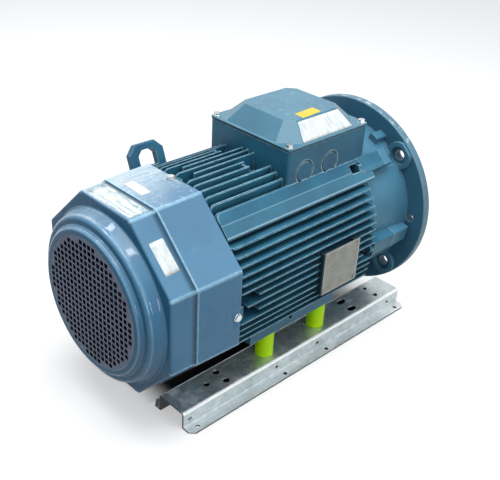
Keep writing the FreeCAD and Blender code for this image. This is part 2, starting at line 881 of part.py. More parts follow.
def fan_end_bearing_cover():
    hub_radius = fan_bearing_outer + hub_wall
    face = fan_bearing_x + fan_bearing_width + 2
    plate = bearing_cap(face, hub_radius)
    step = ring(face - 2, face, fan_bearing_outer, fan_bearing_outer - 5)
    return fused([plate, step])


def bearing_cover_screws():
    drive_hub = drive_bearing_outer + hub_wall
    drive_face = -recess_depth
    drive_length = abs(drive_bearing_x - 2 - cap_thickness) + drive_face
    drive = hex_screw(cap_screw_radius, drive_length, m6_head_radius, m6_head_height)
    drive.rotate(Vector(), Vector(0, 0, 1), 180)
    drive.translate(Vector(drive_face, drive_hub - hub_screw_inset, 0))
    fan_hub = fan_bearing_outer + hub_wall
    fan_face = fan_shield_outer_face()
    fan_length = fan_bearing_x + fan_bearing_width + 2 + cap_thickness - fan_face
    fan = hex_screw(cap_screw_radius, fan_length, m6_head_radius, m6_head_height)
    fan.translate(Vector(fan_face, fan_hub - hub_screw_inset, 0))
    return Part.makeCompound(around(drive, cap_screw_count, 90) + around(fan, cap_screw_count, 90))


# Fan-end shield

def fan_shield_outer_face():
    return fan_bearing_x - wave_thickness - 1.0 - hub_lip


def fan_end_shield():
    hub_radius = fan_bearing_outer + hub_wall
    outer_face = fan_shield_outer_face()
    seat_end = fan_bearing_x + fan_bearing_width + 2
    plate_out = frame_fan_face - fan_shield_plate
    section = [(outer_face, shoulder_radius + running_gap), (outer_face, hub_radius),
               (plate_out - 4, hub_radius + 2), (plate_out, hub_radius + 30), (plate_out, barrel_radius),
               (frame_fan_face, barrel_radius), (frame_fan_face, bore_radius),
               (frame_fan_face + 8, bore_radius),
               (frame_fan_face + 8, bore_radius - 8), (frame_fan_face, bore_radius - 10),
               (frame_fan_face, hub_radius + 14), (seat_end, hub_radius), (seat_end, fan_bearing_outer),
               (fan_bearing_x - wave_thickness - 1.0, fan_bearing_outer),
               (fan_bearing_x - wave_thickness - 1.0, shoulder_radius + running_gap)]
    body = turned(section)
    ears = shield_ears(plate_out, frame_fan_face)
    body = fused([body] + ears)
    holes = []
    for y, z in fan_shield_screw_places():
        holes.append(rod(plate_out - 1, frame_fan_face + 1, shield_screw_radius + fit_gap, y, z))
    screw_hole = rod(outer_face - 1, seat_end + 1, cap_screw_radius + fit_gap,
                     hub_radius - hub_screw_inset, 0)
    holes += around(screw_hole, cap_screw_count, 90)
    return body.cut(holes)


def fan_shield_screw_places():
    return [polar(barrel_radius + 4, 45 + 90 * i) for i in range(4)]


def shield_ears(x0, x1):
    return [rod(x0, x1, shield_ear_radius, y, z) for y, z in fan_shield_screw_places()]


def fan_end_shield_screws():
    face = frame_fan_face - fan_shield_plate
    length = fan_shield_plate + shield_ear_length - 3
    screw = hex_screw(shield_screw_radius, length, m10_head_radius, m10_head_height)
    placed = []
    for y, z in fan_shield_screw_places():
        one = screw.copy()
        one.translate(Vector(face, y, z))
        placed.append(one)
    return Part.makeCompound(placed)


# Fan cover

def cover_outline(x, grow):
    """The cover's irregular octagon at a place along the shaft, grown or shrunk on every side."""
    turn = grow * math.tan(math.radians(22.5))
    side = cover_half_width + grow
    top = cover_top_z + grow
    low = cover_low_z - grow
    high_z = cover_side_high_z + turn
    low_z = cover_side_low_z - turn
    top_y = cover_top_corner_y + turn
    low_y = cover_low_corner_y + turn
    points = [(side, high_z), (top_y, top), (-top_y, top), (-side, high_z), (-side, low_z), (-low_y, low),
              (low_y, low), (side, low_z)]
    return Part.makePolygon([Vector(x, y, z) for y, z in points + points[:1]])


def cover_draft_at(x):
    return cover_draft * (x - cover_face_x) / (cover_edge_x - cover_face_x)


def cover_form(inset, overrun):
    """The cover's outside, or with an inset the space inside it."""
    step = cover_step_x + inset
    face = cover_face_x + inset
    joggle = step - cover_step_run
    rear = Part.makeLoft([cover_outline(joggle, cover_draft_at(step) - inset - cover_step),
                          cover_outline(step, cover_draft_at(step) - inset),
                          cover_outline(cover_edge_x + overrun, cover_draft - inset)], True, True)
    front = Part.makeLoft([cover_outline(face, -inset - cover_step),
                           cover_outline(joggle, cover_draft_at(step) - inset - cover_step)], True, True)
    radius = cover_edge_radius - inset
    solid = front.fuse(rear).removeSplitter()
    lengthwise = [e for e in solid.Edges if e.BoundBox.XLength > 20]
    solid = solid.makeFillet(radius, lengthwise)
    rim = [e for e in solid.Edges if e.BoundBox.XMax < face + 0.01]
    return solid.makeFillet(cover_rim_radius - inset / 2, rim)


def boss_form(inset, front_x):
    """The round boss: a drafted wall, a rolled shoulder and a smaller lip around the inlet."""
    base = boss_base_radius - inset
    shoulder = boss_shoulder_radius - inset
    lip = boss_lip_radius - inset
    x0 = cover_face_x + 10
    x1 = boss_shoulder_x + inset
    x2 = front_x
    roll = boss_shoulder_roll - inset
    edge = boss_lip_roll - inset
    foot = boss_lip_foot + inset
    lip_foot = lip + boss_lip_draft
    early = quarter_middle
    centre = Vector(0, 0, boss_centre_z)
    lines = []
    p = [Vector(x0, 0, base), Vector(cover_face_x + inset, 0, base), Vector(x1 + roll, 0, shoulder)]
    q = Vector(x1 + roll * early, 0, shoulder - roll * early)
    r = Vector(x1, 0, shoulder - roll)
    s = [Vector(x1, 0, lip_foot + foot), Vector(x1 - foot * early, 0, lip_foot + foot * early),
         Vector(x1 - foot, 0, lip_foot)]
    t = Vector(x2 + edge, 0, lip)
    u = Vector(x2 + edge * early, 0, lip - edge * early)
    v = Vector(x2, 0, lip - edge)
    lines += [Part.makeLine(Vector(x0, 0, 0), p[0]), Part.makeLine(p[0], p[1]), Part.makeLine(p[1], p[2])]
    lines += [Part.Arc(p[2], q, r).toShape(), Part.makeLine(r, s[0]), Part.Arc(*s).toShape(),
              Part.makeLine(s[2], t)]
    lines += [Part.Arc(t, u, v).toShape(), Part.makeLine(v, Vector(x2, 0, 0)),
              Part.makeLine(Vector(x2, 0, 0), Vector(x0, 0, 0))]
    solid = Part.Face(Part.Wire(lines)).revolve(Vector(), Vector(1, 0, 0), 360)
    solid.translate(centre)
    return solid


def cover_screw_places():
    """The (y, z) place of each cover screw's washer on the cover's skin, and its inward direction."""
    grow = cover_draft_at(cover_screw_x + cover_washer_radius)
    side = cover_half_width + grow
    return [(0.0, cover_top_z + grow, Vector(0, 0, -1)), (0.0, cover_low_z - grow, Vector(0, 0, 1)),
            (-side, cover_side_screw_z, Vector(0, 1, 0)), (side, cover_side_screw_z, Vector(0, -1, 0))]


def fan_cover():
    outside = cover_form(0.0, 0.0).fuse(boss_form(0.0, boss_front_x))
    inside = cover_form(cover_sheet, 5.0).fuse(boss_form(cover_sheet, boss_front_x + cover_sheet))
    inlet = rod(boss_front_x - 5, boss_front_x + 10, inlet_radius, 0, boss_centre_z)
    holes = []
    for y, z, inward in cover_screw_places():
        start = Vector(cover_screw_x, y, z) - inward * 6
        holes.append(Part.makeCylinder(cover_screw_radius + 0.3, 14, start, inward))
    return outside.cut([inside, inlet] + holes).removeSplitter()


def fan_cover_screws():
    screw = hex_screw(cover_screw_radius, cover_screw_length, m6_head_radius, m6_head_height)
    washer = rod(-flat_washer, 0.0, cover_washer_radius)
    one = fused([screw, washer])
    placed = []
    for y, z, inward in cover_screw_places():
        shape = one.copy()
        turn = FreeCAD.Rotation(Vector(1, 0, 0), inward)
        shape.Placement = FreeCAD.Placement(Vector(cover_screw_x, y, z), turn)
        placed.append(shape)
    return Part.makeCompound(placed)


def fan_inlet_grille():
    """A disc with square holes on a square grid, and a rim that is seated behind the boss's lip."""
    front = boss_front_x
    seat = boss_front_x + cover_sheet
    back = seat + grille_sheet
    face_radius = inlet_radius - fit_gap
    z0 = boss_centre_z
    disc = rod(front, back, face_radius, 0, z0).fuse(rod(seat, back, inlet_radius + grille_margin, 0, z0))
    disc = disc.cut(rod(front + grille_sheet, back + 1, face_radius - grille_sheet, 0, z0))
    holes = []
    half = hole_size / 2
    through = front + grille_sheet + 1
    field = inlet_radius - hole_field_edge
    reach = int(field / hole_pitch) + 1
    for i in range(-reach, reach):
        for j in range(-reach, reach):
            y = hole_pitch * (i + 0.5)
            z = hole_pitch * (j + 0.5)
            if math.hypot(abs(y) + half, abs(z) + half) < field:
                low = z0 + z - half
                holes.append(block(front - 1, through, y - half, y + half, low, low + hole_size))
    return disc.cut(Part.makeCompound(holes))


# Base rails

def rail_section():
    """The folded sheet's section, as (y, z) points about the rail's middle."""
    top = rail_top_z
    low = rail_top_z - rail_height
    t = rail_sheet
    w = rail_half_width
    lip = w + rail_lip
    b = rail_bend_radius
    c = b * quarter_middle
    right_outside = [(lip, low + t), (w + c, low + t), (w, low + t + c), (w, top - b), (w - c, top - c),
                     (w - b, top)]
    right_inside = [(w - b, top - t), (w - t - c / 4, top - t - c / 4), (w - t, top - b), (w - t, low + c),
                    (w - t + c, low), (lip, low)]
    left_outside = [(-y, z) for y, z in reversed(right_outside)]
    left_inside = [(-y, z) for y, z in reversed(right_inside)]
    return right_outside + left_outside + left_inside + right_inside


def base_rail(y):
    section = [(y + p, z) for p, z in rail_section()]
    body = prism_x(section, rail_fan_x, rail_drive_x)
    top = rail_top_z
    low = rail_top_z - rail_height
    cuts = []
    for x, offset, radius in rail_round_holes:
        cuts.append(post(top - rail_sheet - 1, top + 1, radius, x, y + offset))
    for offset in (-rail_slot_offset, rail_slot_offset):
        half = rail_slot_length / 2 - rail_slot_radius
        ends = [post(top - rail_sheet - 1, top + 1, rail_slot_radius, rail_slot_x + way * half, y + offset)
                for way in (-1, 1)]
        middle = block(rail_slot_x - half, rail_slot_x + half, y + offset - rail_slot_radius,
                       y + offset + rail_slot_radius, top - rail_sheet - 1, top + 1)
        cuts.append(fused(ends + [middle]))
    for x in sleeve_x:
        cuts.append(post(top - rail_sheet - 1, top + 1, sleeve_bolt_radius + 0.5, x, y))
    for side in (-1, 1):
        wall = y + side * rail_half_width
        for x in rail_web_holes:
            start = Vector(x, wall - 2 * rail_sheet, top - rail_height / 2 - 1)
            cuts.append(Part.makeCylinder(rail_side_hole_radius, 4 * rail_sheet, start, Vector(0, 1, 0)))
        for x in rail_lip_holes:
            lip_y = y + side * (rail_half_width + rail_lip_hole_offset)
            cuts.append(post(low - 1, low + rail_sheet + 1, rail_lip_hole_radius, x, lip_y))
        for x, way in ((rail_fan_x, 1), (rail_drive_x, -1)):
            tip = y + side * (rail_half_width + rail_lip)
            inner = tip - side * rail_lip_corner
            corner = flat([Vector(x - way, tip + side, low - 1),
                           Vector(x + way * rail_lip_corner, tip + side, low - 1),
                           Vector(x - way, inner, low - 1)])
            cuts.append(corner.extrude(Vector(0, 0, rail_sheet + 2)))
    return body.cut(cuts)


def sleeve_places():
    return [(x, y) for x in sleeve_x for y in (-rail_y, rail_y)]


def spacer_sleeves():
    sleeves = []
    for x, y in sleeve_places():
        tube = post(rail_top_z, ledge_low_z, sleeve_radius, x, y)
        rims = [e for e in tube.Edges if e.BoundBox.ZLength < 0.01]
        tube = tube.makeFillet(1.2, rims)
        sleeves.append(tube.cut(post(rail_top_z - 1, ledge_low_z + 1, sleeve_bolt_radius + 0.5, x, y)))
    return Part.makeCompound(sleeves)


def sleeve_bolts():
    length = ledge_low_z + sleeve_bolt_grip - 2 - (rail_top_z - rail_sheet - washer_thickness)
    bolt = hex_screw(sleeve_bolt_radius, length, m12_head_radius, m12_head_height)
    washer = rod(-0.1, washer_thickness, washer_radius)
    placed = []
    for x, y in sleeve_places():
        shape = fused([bolt, washer])
        shape.rotate(Vector(), Vector(0, 1, 0), -90)
        shape.translate(Vector(x, y, rail_top_z - rail_sheet - washer_thickness))
        placed.append(shape)
    return Part.makeCompound(placed)


# Small outer pieces

def nameplate():
    half_x = plate_width / 2
    half_z = plate_height / 2
    sheet = block(plate_centre_x - half_x, plate_centre_x + half_x, -plate_y, -plate_y + plate_thickness,
                  plate_centre_z - half_z, plate_centre_z + half_z)
    sheet = sheet.makeFillet(2.0, [e for e in sheet.Edges if e.BoundBox.YLength > 1])
    holes = []
    for x, z in rivet_places():
        holes.append(Part.makeCylinder(plate_rivet_radius, 4, Vector(x, -plate_y - 1, z), Vector(0, 1, 0)))
    return sheet.cut(holes)


def rivet_places():
    dx = plate_width / 2 - plate_rivet_inset
    dz = plate_height / 2 - plate_rivet_inset
    return [(plate_centre_x + i * dx, plate_centre_z + j * dz) for i in (-1, 1) for j in (-1, 1)]


def rivet_shank(x, z):
    return Part.makeCylinder(plate_rivet_radius, plate_rivet_length, Vector(x, -plate_y, z), Vector(0, 1, 0))


def nameplate_rivets():
    rivets = []
    for x, z in rivet_places():
        start = Vector(x, -plate_y - plate_rivet_head_height, z)
        head = Part.makeCylinder(plate_rivet_head_radius, plate_rivet_head_height, start, Vector(0, 1, 0))
        rivets.append(fused([rivet_shank(x, z), head]))
    return Part.makeCompound(rivets)


def lifting_lug():
    """A flat ring with cut corners and a squarish eye, leaning outwards from the far shoulder."""
    half = lug_half_length
    c = lug_corner
    outline = [(-half, 0), (half, 0), (half, lug_height - c), (half - c, lug_height), (-half + c, lug_height),
               (-half, lug_height - c)]
    eye_half = half - lug_bar
    eye_top = lug_height - lug_top_bar
    e = lug_eye_corner
    eye = [(-eye_half, lug_foot_bar), (eye_half, lug_foot_bar), (eye_half, eye_top - e),
           (eye_half - e, eye_top), (-eye_half + e, eye_top), (-eye_half, eye_top - e)]
    body = prism_y(outline, -lug_thickness / 2, lug_thickness / 2)
    edges = [e for e in body.Edges if e.BoundBox.YLength < 0.01 and e.BoundBox.ZMax > 1]
    body = body.makeFillet(2.5, edges)
    body = body.cut(prism_y(eye, -lug_thickness, lug_thickness))
    return on_shoulder(body).cut(lug_studs(lug_stud_radius))


# Rotating pieces

def core_span():
    return core_centre_x - core_length / 2, core_centre_x + core_length / 2


def wedge(inner, outer, inner_width, outer_width, x0, x1):
    """A bar along x whose section is a trapezium standing on +y."""
    return prism_x([(inner, -inner_width / 2), (outer, -outer_width / 2), (outer, outer_width / 2),
                    (inner, inner_width / 2)], x0, x1)


def stator_core():
    x0, x1 = core_span()
    body = ring(x0, x1, bore_radius, stator_bore_radius)
    slot = wedge(slot_inner_radius, slot_outer_radius, slot_inner_width, slot_outer_width, x0 - 1, x1 + 1)
    half = slot_mouth / 2
    mouth = block(x0 - 1, x1 + 1, stator_bore_radius - 2, slot_inner_radius + 1, -half, half)
    cut = slot.fuse(mouth)
    return body.cut(around(cut, slot_count))


def stator_winding():
    x0, x1 = core_span()
    g = slot_liner
    bar = wedge(slot_inner_radius + g, slot_outer_radius - g, slot_inner_width - 2 * g,
                slot_outer_width - 2 * g, x0 - 4, x1 + 4)
    c = end_turn_round
    turns = []
    for start, way in ((x1 + 2, 1), (x0 - 2, -1)):
        end = start + way * end_turn_length
        turns.append(turned([(start, end_turn_inner), (end - way * c, end_turn_inner),
                             (end, end_turn_inner + c), (end, end_turn_outer - c), (end - way * c, end_turn_outer),
                             (start + way * c, end_turn_outer), (start, slot_outer_radius)]))
    return fused(turns + around(bar, slot_count))


def rotor_core():
    x0, x1 = core_span()
    body = ring(x0, x1, stator_bore_radius - air_gap, core_seat_radius)
    g = fit_gap
    slot = wedge(rotor_bar_inner - g, rotor_bar_outer + g, rotor_bar_inner_width + 2 * g,
                 rotor_bar_outer_width + 2 * g, x0 - 1, x1 + 1)
    return body.cut(around(slot, rotor_bar_count))


def rotor_cage():
    x0, x1 = core_span()
    bar = wedge(rotor_bar_inner, rotor_bar_outer, rotor_bar_inner_width, rotor_bar_outer_width,
                x0 - 3, x1 + 3)
    pieces = around(bar, rotor_bar_count)
    half = rotor_blade_thickness / 2
    for start, end, tip in ((x0 - end_ring_width, x0, x0 - end_ring_width - rotor_blade_length),
                            (x1, x1 + end_ring_width, x1 + end_ring_width + rotor_blade_length)):
        pieces.append(ring(start, end, end_ring_outer, end_ring_inner))
        low = min(start, tip) if tip < start else end - 1
        high = start + 1 if tip < start else tip
        blade = block(low, high, end_ring_inner + 8, end_ring_outer - 3, -half, half)
        pieces += around(blade, rotor_blade_count)
    return fused(pieces)


def shaft():
    c = shaft_chamfer
    x0, x1 = core_span()
    drive_shoulder = drive_bearing_x
    fan_shoulder = fan_bearing_x + fan_bearing_width
    end = shaft_end_length
    section = [(fan_seat_end, 0), (fan_seat_end, fan_seat_radius - c), (fan_seat_end + c, fan_seat_radius),
               (fan_hub_end, fan_seat_radius), (fan_hub_end, journal_radius),
               (fan_shoulder, journal_radius), (fan_shoulder, shoulder_radius), (x0 - 30, shoulder_radius),
               (x0 - 30, core_seat_radius), (x1 + 2, core_seat_radius), (x1 + 2, core_seat_radius + 2),
               (x1 + 8, core_seat_radius + 2), (x1 + 8, shoulder_radius), (drive_shoulder, shoulder_radius),
               (drive_shoulder, journal_radius), (0, journal_radius), (0, shaft_end_radius),
               (end - c, shaft_end_radius), (end, shaft_end_radius - c), (end, 0)]
    body = turned(section)
    centre = rod(end - centre_hole_depth, end + 1, centre_hole_radius)
    cone = Part.makeCone(0, centre_hole_radius, 6, Vector(end - centre_hole_depth - 6, 0, 0), Vector(1, 0, 0))
    fan_key = fan_key_cut()
    grooves = [ring(x, x + circlip_thickness, r + 3, r - 1.5) for x, r in circlip_places()]
    return body.cut([keyway(), centre, cone, fan_key] + grooves)


def keyway():
    """The seat of a coupling's key, with round ends, along the top of the shaft end."""
    half = key_width / 2
    x0 = shaft_end_length - key_setback - key_length + half
    x1 = shaft_end_length - key_setback - half
    low = shaft_end_radius - key_depth
    high = shaft_end_radius + 1
    ends = [post(low, high, half, x, 0) for x in (x0, x1)]
    return fused(ends + [block(x0, x1, -half, half, low, high)])


def circlip_places():
    """The start and the shaft radius of the bearing's circlip and of the fan's."""
    return [(fan_bearing_x - circlip_thickness, journal_radius),
            (fan_hub_start - circlip_thickness, fan_seat_radius)]


def circlip(x, radius):
    whole = ring(x, x + circlip_thickness, radius - 1.5 + circlip_height, radius - 1.5)
    return whole.cut(block(x - 1, x + circlip_thickness + 1, -4, 4, 0, radius + 10))


def fan_key_cut():
    return block(fan_hub_start + 2, fan_hub_end - 2, -3, 3, fan_seat_radius - 3.5, fan_seat_radius + 1)


def fan_key():
    return block(fan_hub_start + 2, fan_hub_end - 2, -3, 3, fan_seat_radius - 3.5, fan_seat_radius + 2.5)


def seal_ring(x, way):
    """A V-ring that grips the shaft and whose lip runs against the shield."""
    lip = x + way * seal_thickness
    root = journal_radius
    return turned([(x, root), (lip - way, root), (lip - way, root + 5), (lip, seal_radius - 1),
                   (lip - way, seal_radius), (lip - way * 3, root + 5.5), (x, root + 5.5)])


def cooling_fan():
    hub = ring(fan_hub_start, fan_hub_end, fan_hub_radius, fan_seat_radius + fit_gap)
    disc_low = fan_disc_x
    skirt = turned([(disc_low, fan_hub_radius - 2), (disc_low - 9, fan_radius - 14),
                    (disc_low - 9, fan_radius),
                    (disc_low - 9 + fan_disc_thickness, fan_radius), (disc_low - 6, fan_radius - 14),
                    (disc_low + fan_disc_thickness, fan_hub_radius - 2)])
    half = fan_blade_thickness / 2
    front = fan_blade_front
    back = disc_low
    blade = flat([Vector(back, fan_blade_inner, -half), Vector(front + 12, fan_blade_inner, -half),
                  Vector(front, fan_blade_inner + 18, -half), Vector(front, fan_radius - 1, -half),
                  Vector(back - 8, fan_radius - 1, -half)]).extrude(Vector(0, 0, fan_blade_thickness))
    blades = [b.common(rod(front - 1, back - 1, fan_radius - 0.5)) for b in around(blade, fan_blade_count)]
    key_slot = block(fan_hub_start - 1, fan_hub_end + 1, -3 - fit_gap, 3 + fit_gap, 0, fan_seat_radius + 2.6)
    bore = rod(fan_hub_start - 1, fan_hub_end + 1, fan_seat_radius + fit_gap)
    return fused([hub, skirt] + blades).cut([key_slot, bore])


# Bearings

def groove(x, width, pitch, ball):
    return Part.makeTorus(pitch, ball + ball_gap, Vector(x + width / 2, 0, 0), Vector(1, 0, 0))


def inner_ring(x, width, pitch, ball):
    outer = journal_radius + (pitch - journal_radius) * ring_share
    return ring(x, x + width, outer, journal_radius).cut(groove(x, width, pitch, ball))


def outer_ring(x, width, pitch, ball, rim):
    inner = rim - (rim - pitch) * ring_share
    return ring(x, x + width, rim, inner).cut(groove(x, width, pitch, ball))


def balls(x, width, pitch, ball, count):
    sphere = Part.makeSphere(ball, Vector(x + width / 2, pitch, 0), Vector(1, 0, 0))
    return Part.makeCompound(around(sphere, count))


def ball_cage(x, width, pitch, ball, count):
    """A ring with one round window for each ball."""
    half = ball + cage_side
    middle = x + width / 2
    body = ring(middle - half, middle + half, pitch + cage_thickness / 2, pitch - cage_thickness / 2)
    window = Part.makeCylinder(ball + ball_gap * 2, 4 * cage_thickness,
                               Vector(middle, pitch - 2 * cage_thickness, 0), Vector(0, 1, 0))
    return body.cut(around(window, count))


def wave_spring():
    """Preload spring between the shield's lip and the fan-end bearing's outer ring."""
    start = fan_bearing_x - wave_thickness
    return ring(start, fan_bearing_x, fan_bearing_outer - 0.5, fan_bearing_outer - 6)


drive = (drive_bearing_x, drive_bearing_width, drive_pitch_radius, drive_ball_radius)
fan = (fan_bearing_x, fan_bearing_width, fan_pitch_radius, fan_ball_radius)

pieces = {
    "stator_housing": stator_housing(),
    "stator_core": stator_core(),
    "stator_winding": stator_winding(),
    "drive_end_flange_shield": drive_end_flange_shield(),
    "drive_end_shield_screws": drive_end_shield_screws(),
    "fan_end_shield": fan_end_shield(),
    "fan_end_shield_screws": fan_end_shield_screws(),
    "drive_end_bearing_cover": drive_end_bearing_cover(),
    "fan_end_bearing_cover": fan_end_bearing_cover(),
    "bearing_cover_screws": bearing_cover_screws(),
    "drive_end_outer_ring": outer_ring(*drive, drive_bearing_outer),
    "fan_end_outer_ring": outer_ring(*fan, fan_bearing_outer),
    "wave_spring": wave_spring(),
    "fan_cover": fan_cover(),
    "fan_inlet_grille": fan_inlet_grille(),
    "fan_cover_screws": fan_cover_screws(),
    "terminal_box_lid": terminal_box_lid(),
    "lid_gasket": lid_gasket(),
    "lid_screws": lid_screws(),
    "terminal_board": terminal_board(),
    "terminal_studs": terminal_studs(),
    "terminal_links": terminal_links(),
    "terminal_nuts": terminal_nuts(),
    "earth_screw": earth_screw(),
    "nameplate": nameplate(),
    "nameplate_rivets": nameplate_rivets(),
    "lifting_lug": lifting_lug(),
    "lifting_lug_studs": Part.makeCompound(lug_studs(lug_stud_radius)),
    "near_base_rail": base_rail(-rail_y),
    "far_base_rail": base_rail(rail_y),
    "spacer_sleeves": spacer_sleeves(),
    "sleeve_bolts": sleeve_bolts(),
    "shaft": shaft(),
    "rotor_core": rotor_core(),
    "rotor_cage": rotor_cage(),
    "drive_end_inner_ring": inner_ring(*drive),
    "fan_end_inner_ring": inner_ring(*fan),
    "bearing_circlip": circlip(*circlip_places()[0]),
    "fan_circlip": circlip(*circlip_places()[1]),
    "fan_key": fan_key(),
    "cooling_fan": cooling_fan(),
    "drive_end_seal_ring": seal_ring(-recess_depth - hub_lip + running_gap + seal_thickness, -1),
    "fan_end_seal_ring": seal_ring(fan_shield_outer_face() - running_gap - seal_thickness, 1),
    "drive_end_balls": balls(*drive, drive_ball_count),
    "drive_end_ball_cage": ball_cage(*drive, drive_ball_count),
    "fan_end_balls": balls(*fan, fan_ball_count),
    "fan_end_ball_cage": ball_cage(*fan, fan_ball_count),
}

for name, shape in pieces.items():
    save(name, shape)
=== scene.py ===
import math

import bpy
import numpy as np
from mathutils import Matrix, Vector


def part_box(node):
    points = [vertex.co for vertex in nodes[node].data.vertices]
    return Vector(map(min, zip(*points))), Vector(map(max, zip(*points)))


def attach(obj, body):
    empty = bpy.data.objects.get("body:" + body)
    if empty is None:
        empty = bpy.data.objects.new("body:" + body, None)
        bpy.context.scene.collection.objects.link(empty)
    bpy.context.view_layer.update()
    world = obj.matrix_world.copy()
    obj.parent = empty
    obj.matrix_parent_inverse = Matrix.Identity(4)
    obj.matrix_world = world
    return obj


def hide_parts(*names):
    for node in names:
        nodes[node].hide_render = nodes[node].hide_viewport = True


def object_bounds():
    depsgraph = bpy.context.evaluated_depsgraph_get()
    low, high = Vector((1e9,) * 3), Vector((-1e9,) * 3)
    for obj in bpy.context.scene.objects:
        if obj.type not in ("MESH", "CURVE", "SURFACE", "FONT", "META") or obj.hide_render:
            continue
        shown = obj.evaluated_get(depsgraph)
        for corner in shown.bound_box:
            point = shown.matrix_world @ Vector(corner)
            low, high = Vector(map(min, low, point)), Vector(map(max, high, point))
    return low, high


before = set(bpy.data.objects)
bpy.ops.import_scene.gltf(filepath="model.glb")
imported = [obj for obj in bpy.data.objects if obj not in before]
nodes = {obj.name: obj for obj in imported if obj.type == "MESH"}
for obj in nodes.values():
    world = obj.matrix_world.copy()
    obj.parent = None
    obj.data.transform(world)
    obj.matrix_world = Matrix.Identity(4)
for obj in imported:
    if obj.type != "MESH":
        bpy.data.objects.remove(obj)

# A flange-mounted electric motor on two base rails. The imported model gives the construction, and this
# script gives the finishes, the pressed fan cover, the labels, the light and the camera.

mm = 0.001
cadBox = [[float(v) for v in corner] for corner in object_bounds()]
print("frame loaded:", len(nodes), "nodes")


# Shader maths. A Wire is one output socket, and sums on Wires add their own Math nodes.
class Wire:
    def __init__(self, finish, socket):
        self.finish = finish
        self.socket = socket

    def __add__(self, other):
        return self.finish.maths("ADD", self, other)

    def __radd__(self, other):
        return self.finish.maths("ADD", other, self)

    def __sub__(self, other):
        return self.finish.maths("SUBTRACT", self, other)

    def __rsub__(self, other):
        return self.finish.maths("SUBTRACT", other, self)

    def __mul__(self, other):
        return self.finish.maths("MULTIPLY", self, other)

    def __rmul__(self, other):
        return self.finish.maths("MULTIPLY", other, self)

    def __truediv__(self, other):
        return self.finish.maths("DIVIDE", self, other)

    def __pow__(self, other):
        return self.finish.maths("POWER", self, other)


# One material, or the world if that is the owner. node() makes any node: its settings first, then the values
# or links of its sockets.
class Finish:
    def __init__(self, name, owner=None):
        self.owner = owner or bpy.data.materials.new(name)
        self.owner.use_nodes = True
        self.tree = self.owner.node_tree
        self.tree.nodes.clear()
        self.place = self.node("ShaderNodeTexCoord", {}, {}, "Object")

    def node(self, kind, settings, sockets, output=0):
        made = self.tree.nodes.new(kind)
        for key, value in settings.items():
            setattr(made, key, value)
        for key, value in sockets.items():
            if isinstance(value, Wire):
                self.tree.links.new(value.socket, made.inputs[key])
            elif isinstance(value, tuple) and len(value) == 3 and made.inputs[key].type == "RGBA":
                made.inputs[key].default_value = value + (1.0,)
            else:
                made.inputs[key].default_value = value
        return Wire(self, made.outputs[output])

    def maths(self, operation, *values):
        return self.node("ShaderNodeMath", {"operation": operation}, dict(enumerate(values)))

    def mix(self, share, first, second):
        # colours, by a share from 0 to 1
        settings = {"data_type": "RGBA", "blend_type": "MIX", "clamp_factor": True}
        return self.node("ShaderNodeMix", settings, {0: share, 6: first, 7: second}, 2)

    def stretch(self, x, y, z):
        return self.node("ShaderNodeMapping", {}, {"Vector": self.place, "Scale": (x, y, z)})

    def noise(self, scale, detail=3.0, roughness=0.55, place=None, warp=0.0):
        sockets = {"Vector": place or self.place, "Scale": scale, "Detail": detail,
                   "Roughness": roughness, "Distortion": warp}
        return self.node("ShaderNodeTexNoise", {}, sockets)

    def between(self, value, low, high):
        # a soft step: 0 below low, 1 above high
        settings = {"interpolation_type": "SMOOTHSTEP"}
        return self.node("ShaderNodeMapRange", settings, {0: value, 1: low, 2: high})

    def window(self, value, low, high, soft):
        # 1 from low to high, 0 outside
        return self.between(value, low - soft, low) * (1 - self.between(value, high, high + soft))

    def along(self, axis):
        # the place along an axis of the object, in metres
        return self.node("ShaderNodeSeparateXYZ", {}, {0: self.place}, axis)

    def size(self, value):
        return self.maths("ABSOLUTE", value)

    def fromShaft(self):
        # the distance from the shaft's axis, in metres
        across = self.node("ShaderNodeVectorMath", {"operation": "MULTIPLY"},
                           {0: self.place, 1: (0.0, 1.0, 1.0)})
        return self.node("ShaderNodeVectorMath", {"operation": "LENGTH"}, {0: across}, "Value")

    def facing(self, axis):
        # how far the surface faces along an axis of the object
        normal = self.node("ShaderNodeNewGeometry", {}, {}, "Normal")
        return self.node("ShaderNodeSeparateXYZ", {}, {0: normal}, axis)

    def rounded(self, radius):
        return self.node("ShaderNodeBevel", {"samples": 6}, {"Radius": radius})

    def edges(self, rounded, low, high):
        # 1 where the rounded normal leans away from the flat one, which is along the edges
        flat = self.node("ShaderNodeNewGeometry", {}, {}, "Normal")
        lean = self.node("ShaderNodeVectorMath", {"operation": "DOT_PRODUCT"}, {0: rounded, 1: flat}, "Value")
        return self.between(1 - lean, low, high)

    def crevices(self, reach):
        # 1 deep between walls, 0 in the open
        open_ = self.node("ShaderNodeAmbientOcclusion", {"samples": 6}, {"Distance": reach}, "AO")
        return 1 - open_

    def seen(self):
        # 1 for rays that show a thing to the camera, in gloss or through glass, and 0 for rays that light
        camera, gloss, through = (self.node("ShaderNodeLightPath", {}, {}, "Is %s Ray" % kind)
                                  for kind in ("Camera", "Glossy", "Transmission"))
        return self.maths("MAXIMUM", self.maths("MAXIMUM", camera, gloss), through)

    def bump(self, height, depth, normal=None, strength=1.0):
        sockets = {"Strength": strength, "Distance": depth, "Height": height}
        if normal:
            sockets["Normal"] = normal
        return self.node("ShaderNodeBump", {}, sockets)

    def close(self, **inputs):
        # the surface itself; an input is named as the shader names it, with _ for a space
        sockets = {key.replace("_", " "): value for key, value in inputs.items()}
        shader = self.node("ShaderNodeBsdfPrincipled", {}, sockets)
        out = self.tree.nodes.new("ShaderNodeOutputMaterial")
        self.tree.links.new(shader.socket, out.inputs["Surface"])
        return self.owner


def dress(material, *names):
    for name in names:
        nodes[name].data.materials.clear()
        nodes[name].data.materials.append(material)


